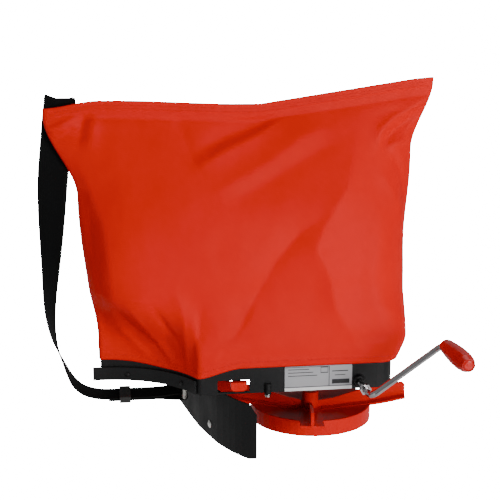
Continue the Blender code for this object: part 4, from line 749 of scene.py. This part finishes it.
tapeLow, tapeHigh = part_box("zip_tape")
tapeCentre = (tapeLow + tapeHigh) / 2
tapeLook = {"half": 0.105, "rows": 60, "width": 0.016, "thick": 0.0007}
tapeRuns = np.linspace(-tapeLook["half"], tapeLook["half"], tapeLook["rows"])
tapeCentres = [tapeCentre + zipWay * float(run) for run in tapeRuns]
tapeWays = [Vector((0, 1, 0))] * tapeLook["rows"]
zipTape = ribbon("zipTape", tapeCentres, [zipUp] * tapeLook["rows"], tapeWays,
                 tapeLook["width"], tapeLook["thick"], webbing)
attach(zipTape, "hopper")
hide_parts("zip_tape")

# shoulder strap
strapLook = {"width": 0.038, "thick": 0.0017, "fine": 4}


def arcPoints(centre, radius, first, last, steps, plane):
    points = []
    for angle in np.radians(np.linspace(first, last, steps + 1)):
        a, b = radius * math.cos(angle), radius * math.sin(angle)
        shift = (a, 0, b) if plane == "XZ" else (0, a, b)
        points.append(tuple(np.array(centre) + np.array(shift)))
    return points


def strapRoute():  # points in millimetres with the turn of the strap's width from +Y towards -X, in degrees
    wrap = 3 + 0.35 + 0.9
    layer = 1.2
    z = 39.4
    route = [((x, 0, z - layer), 0) for x in (-264, -250, -236, -222, -210)]
    route += [((-195, 0, z - layer - 0.5), 0), ((-182, 0, z - layer - 2.0), 0)]
    route += [(point, 0) for point in arcPoints((-168, 0, z), wrap, -105, 105, 8, "XZ")]
    route += [((-182, 0, z + layer + 2.0), 0), ((-195, 0, z + layer + 0.5), 0)]
    route += [((x, 0, z + layer), 0) for x in (-210, -222, -236, -250, -264)]
    route += [((-280, 0, 42.4), 0), ((-296, 0, 48.5), 0), ((-307.5, 0.5, 59.5), 0), ((-314.5, 1, 73), 3),
              ((-321.5, 1.5, 90), 8), ((-328.5, 2, 109), 13), ((-332.5, 2.5, 130), 18), ((-334, 3, 152), 23),
              ((-333.2, 3.5, 178), 29), ((-331.3, 4, 206), 37), ((-329.5, 4.5, 235), 47),
              ((-327.8, 5, 265), 58), ((-326, 5.5, 295), 69), ((-323.6, 7.5, 325), 79),
              ((-320, 10.5, 355), 86), ((-316.5, 11.5, 385), 90)]
    route += [(point, 90) for point in arcPoints((-312.8, 15.2, 412.6), 3.6, 180, 0, 6, "YZ")]
    rearLeg = ((-310.8, 20.8, 396), (-302, 28, 372), (-283, 40, 340), (-266, 54, 305),
               (-254, 67, 270), (-246, 76, 235), (-240, 83, 200), (-233, 87.5, 168),
               (-224, 91, 138), (-213, 93.5, 112), (-204, 95.3, 92))
    route += [(point, 90) for point in rearLeg]
    route += [(point, 90) for point in arcPoints((-200, 92, 72), wrap, 15, -195, 8, "YZ")]
    route += [((-201, 90.3, 86), 90), ((-206.5, 88.4, 98), 90), ((-213, 85.6, 110), 90)]
    return route


def smoothed(values, steps):  # Catmull-Rom curve through rows of numbers
    values = np.array(values, float)
    ends = np.concatenate([[2 * values[0] - values[1]], values, [2 * values[-1] - values[-2]]])
    rows = []
    for a, b, c, d in zip(ends, ends[1:], ends[2:], ends[3:]):
        for t in np.arange(steps) / steps:
            rows.append(0.5 * (2 * b + (c - a) * t + (2 * a - 5 * b + 4 * c - d) * t ** 2
                               + (3 * b - a - 3 * c + d) * t ** 3))
    rows.append(values[-1])
    return np.array(rows)


route = strapRoute()
fine = smoothed([(*point, turn) for point, turn in route], strapLook["fine"])
centres = [at(*row[:3]) for row in fine]
sides, faceWays = [], []
for k, row in enumerate(fine):
    tangent = (centres[min(k + 1, len(fine) - 1)] - centres[max(k - 1, 0)]).normalized()
    turn = math.radians(row[3])
    side = Vector((-math.sin(turn), math.cos(turn), 0))
    side = (side - tangent * side.dot(tangent)).normalized()
    sides.append(side)
    faceWays.append(tangent.cross(side))
strap = ribbon("strapWebbing", centres, sides, faceWays, strapLook["width"], strapLook["thick"], webbing, 8)
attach(strap, "hopper")
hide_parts("shoulder_strap")


# label print
def labelPrint():
    low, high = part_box("front_label")
    wide, tall = high.x - low.x, high.z - low.z
    face = low.y - 0.00006
    sheet = bmesh.new()

    def block(left, right, bottom, top, slot):  # shares of the label's width and height
        a, b = low.x + left * wide, low.x + right * wide
        c, d = low.z + bottom * tall, low.z + top * tall
        made = bmesh.ops.create_cube(sheet, size=1)
        for vert in made["verts"]:
            vert.co = Vector(((a + b) / 2 + vert.co.x * (b - a), face + vert.co.y * 0.0001,
                              (c + d) / 2 + vert.co.z * (d - c)))
        for surface in {surface for vert in made["verts"] for surface in vert.link_faces}:
            surface.material_index = slot

    block(0.0, 1.0, 0.0, 0.13, 0)
    block(0.0, 1.0, 0.14, 0.165, 1)
    block(0.0, 0.66, 0.955, 0.975, 1)
    block(0.652, 0.662, 0.165, 0.975, 1)
    for bottom, top in ((0.7, 0.73), (0.92, 0.95)):
        block(0.53, 0.64, bottom, top, 1)
    for left, right in ((0.53, 0.536), (0.634, 0.64)):
        block(left, right, 0.7, 0.95, 1)
    for number in range(3):
        block(0.05, 0.36 + 0.06 * number, 0.86 - 0.13 * number, 0.885 - 0.13 * number, 2)
    block(0.7, 0.96, 0.24, 0.42, 1)
    block(0.7, 0.94, 0.74, 0.775, 2)
    block(0.74, 0.9, 0.58, 0.605, 2)
    mesh = bpy.data.meshes.new("labelPrint")
    sheet.to_mesh(mesh)
    sheet.free()
    for material in (labelWhite, labelDark, slidePlastic):
        mesh.materials.append(material)
    return addObject("labelPrint", mesh)


label = labelPrint()
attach(label, "hopper")
print("label made")
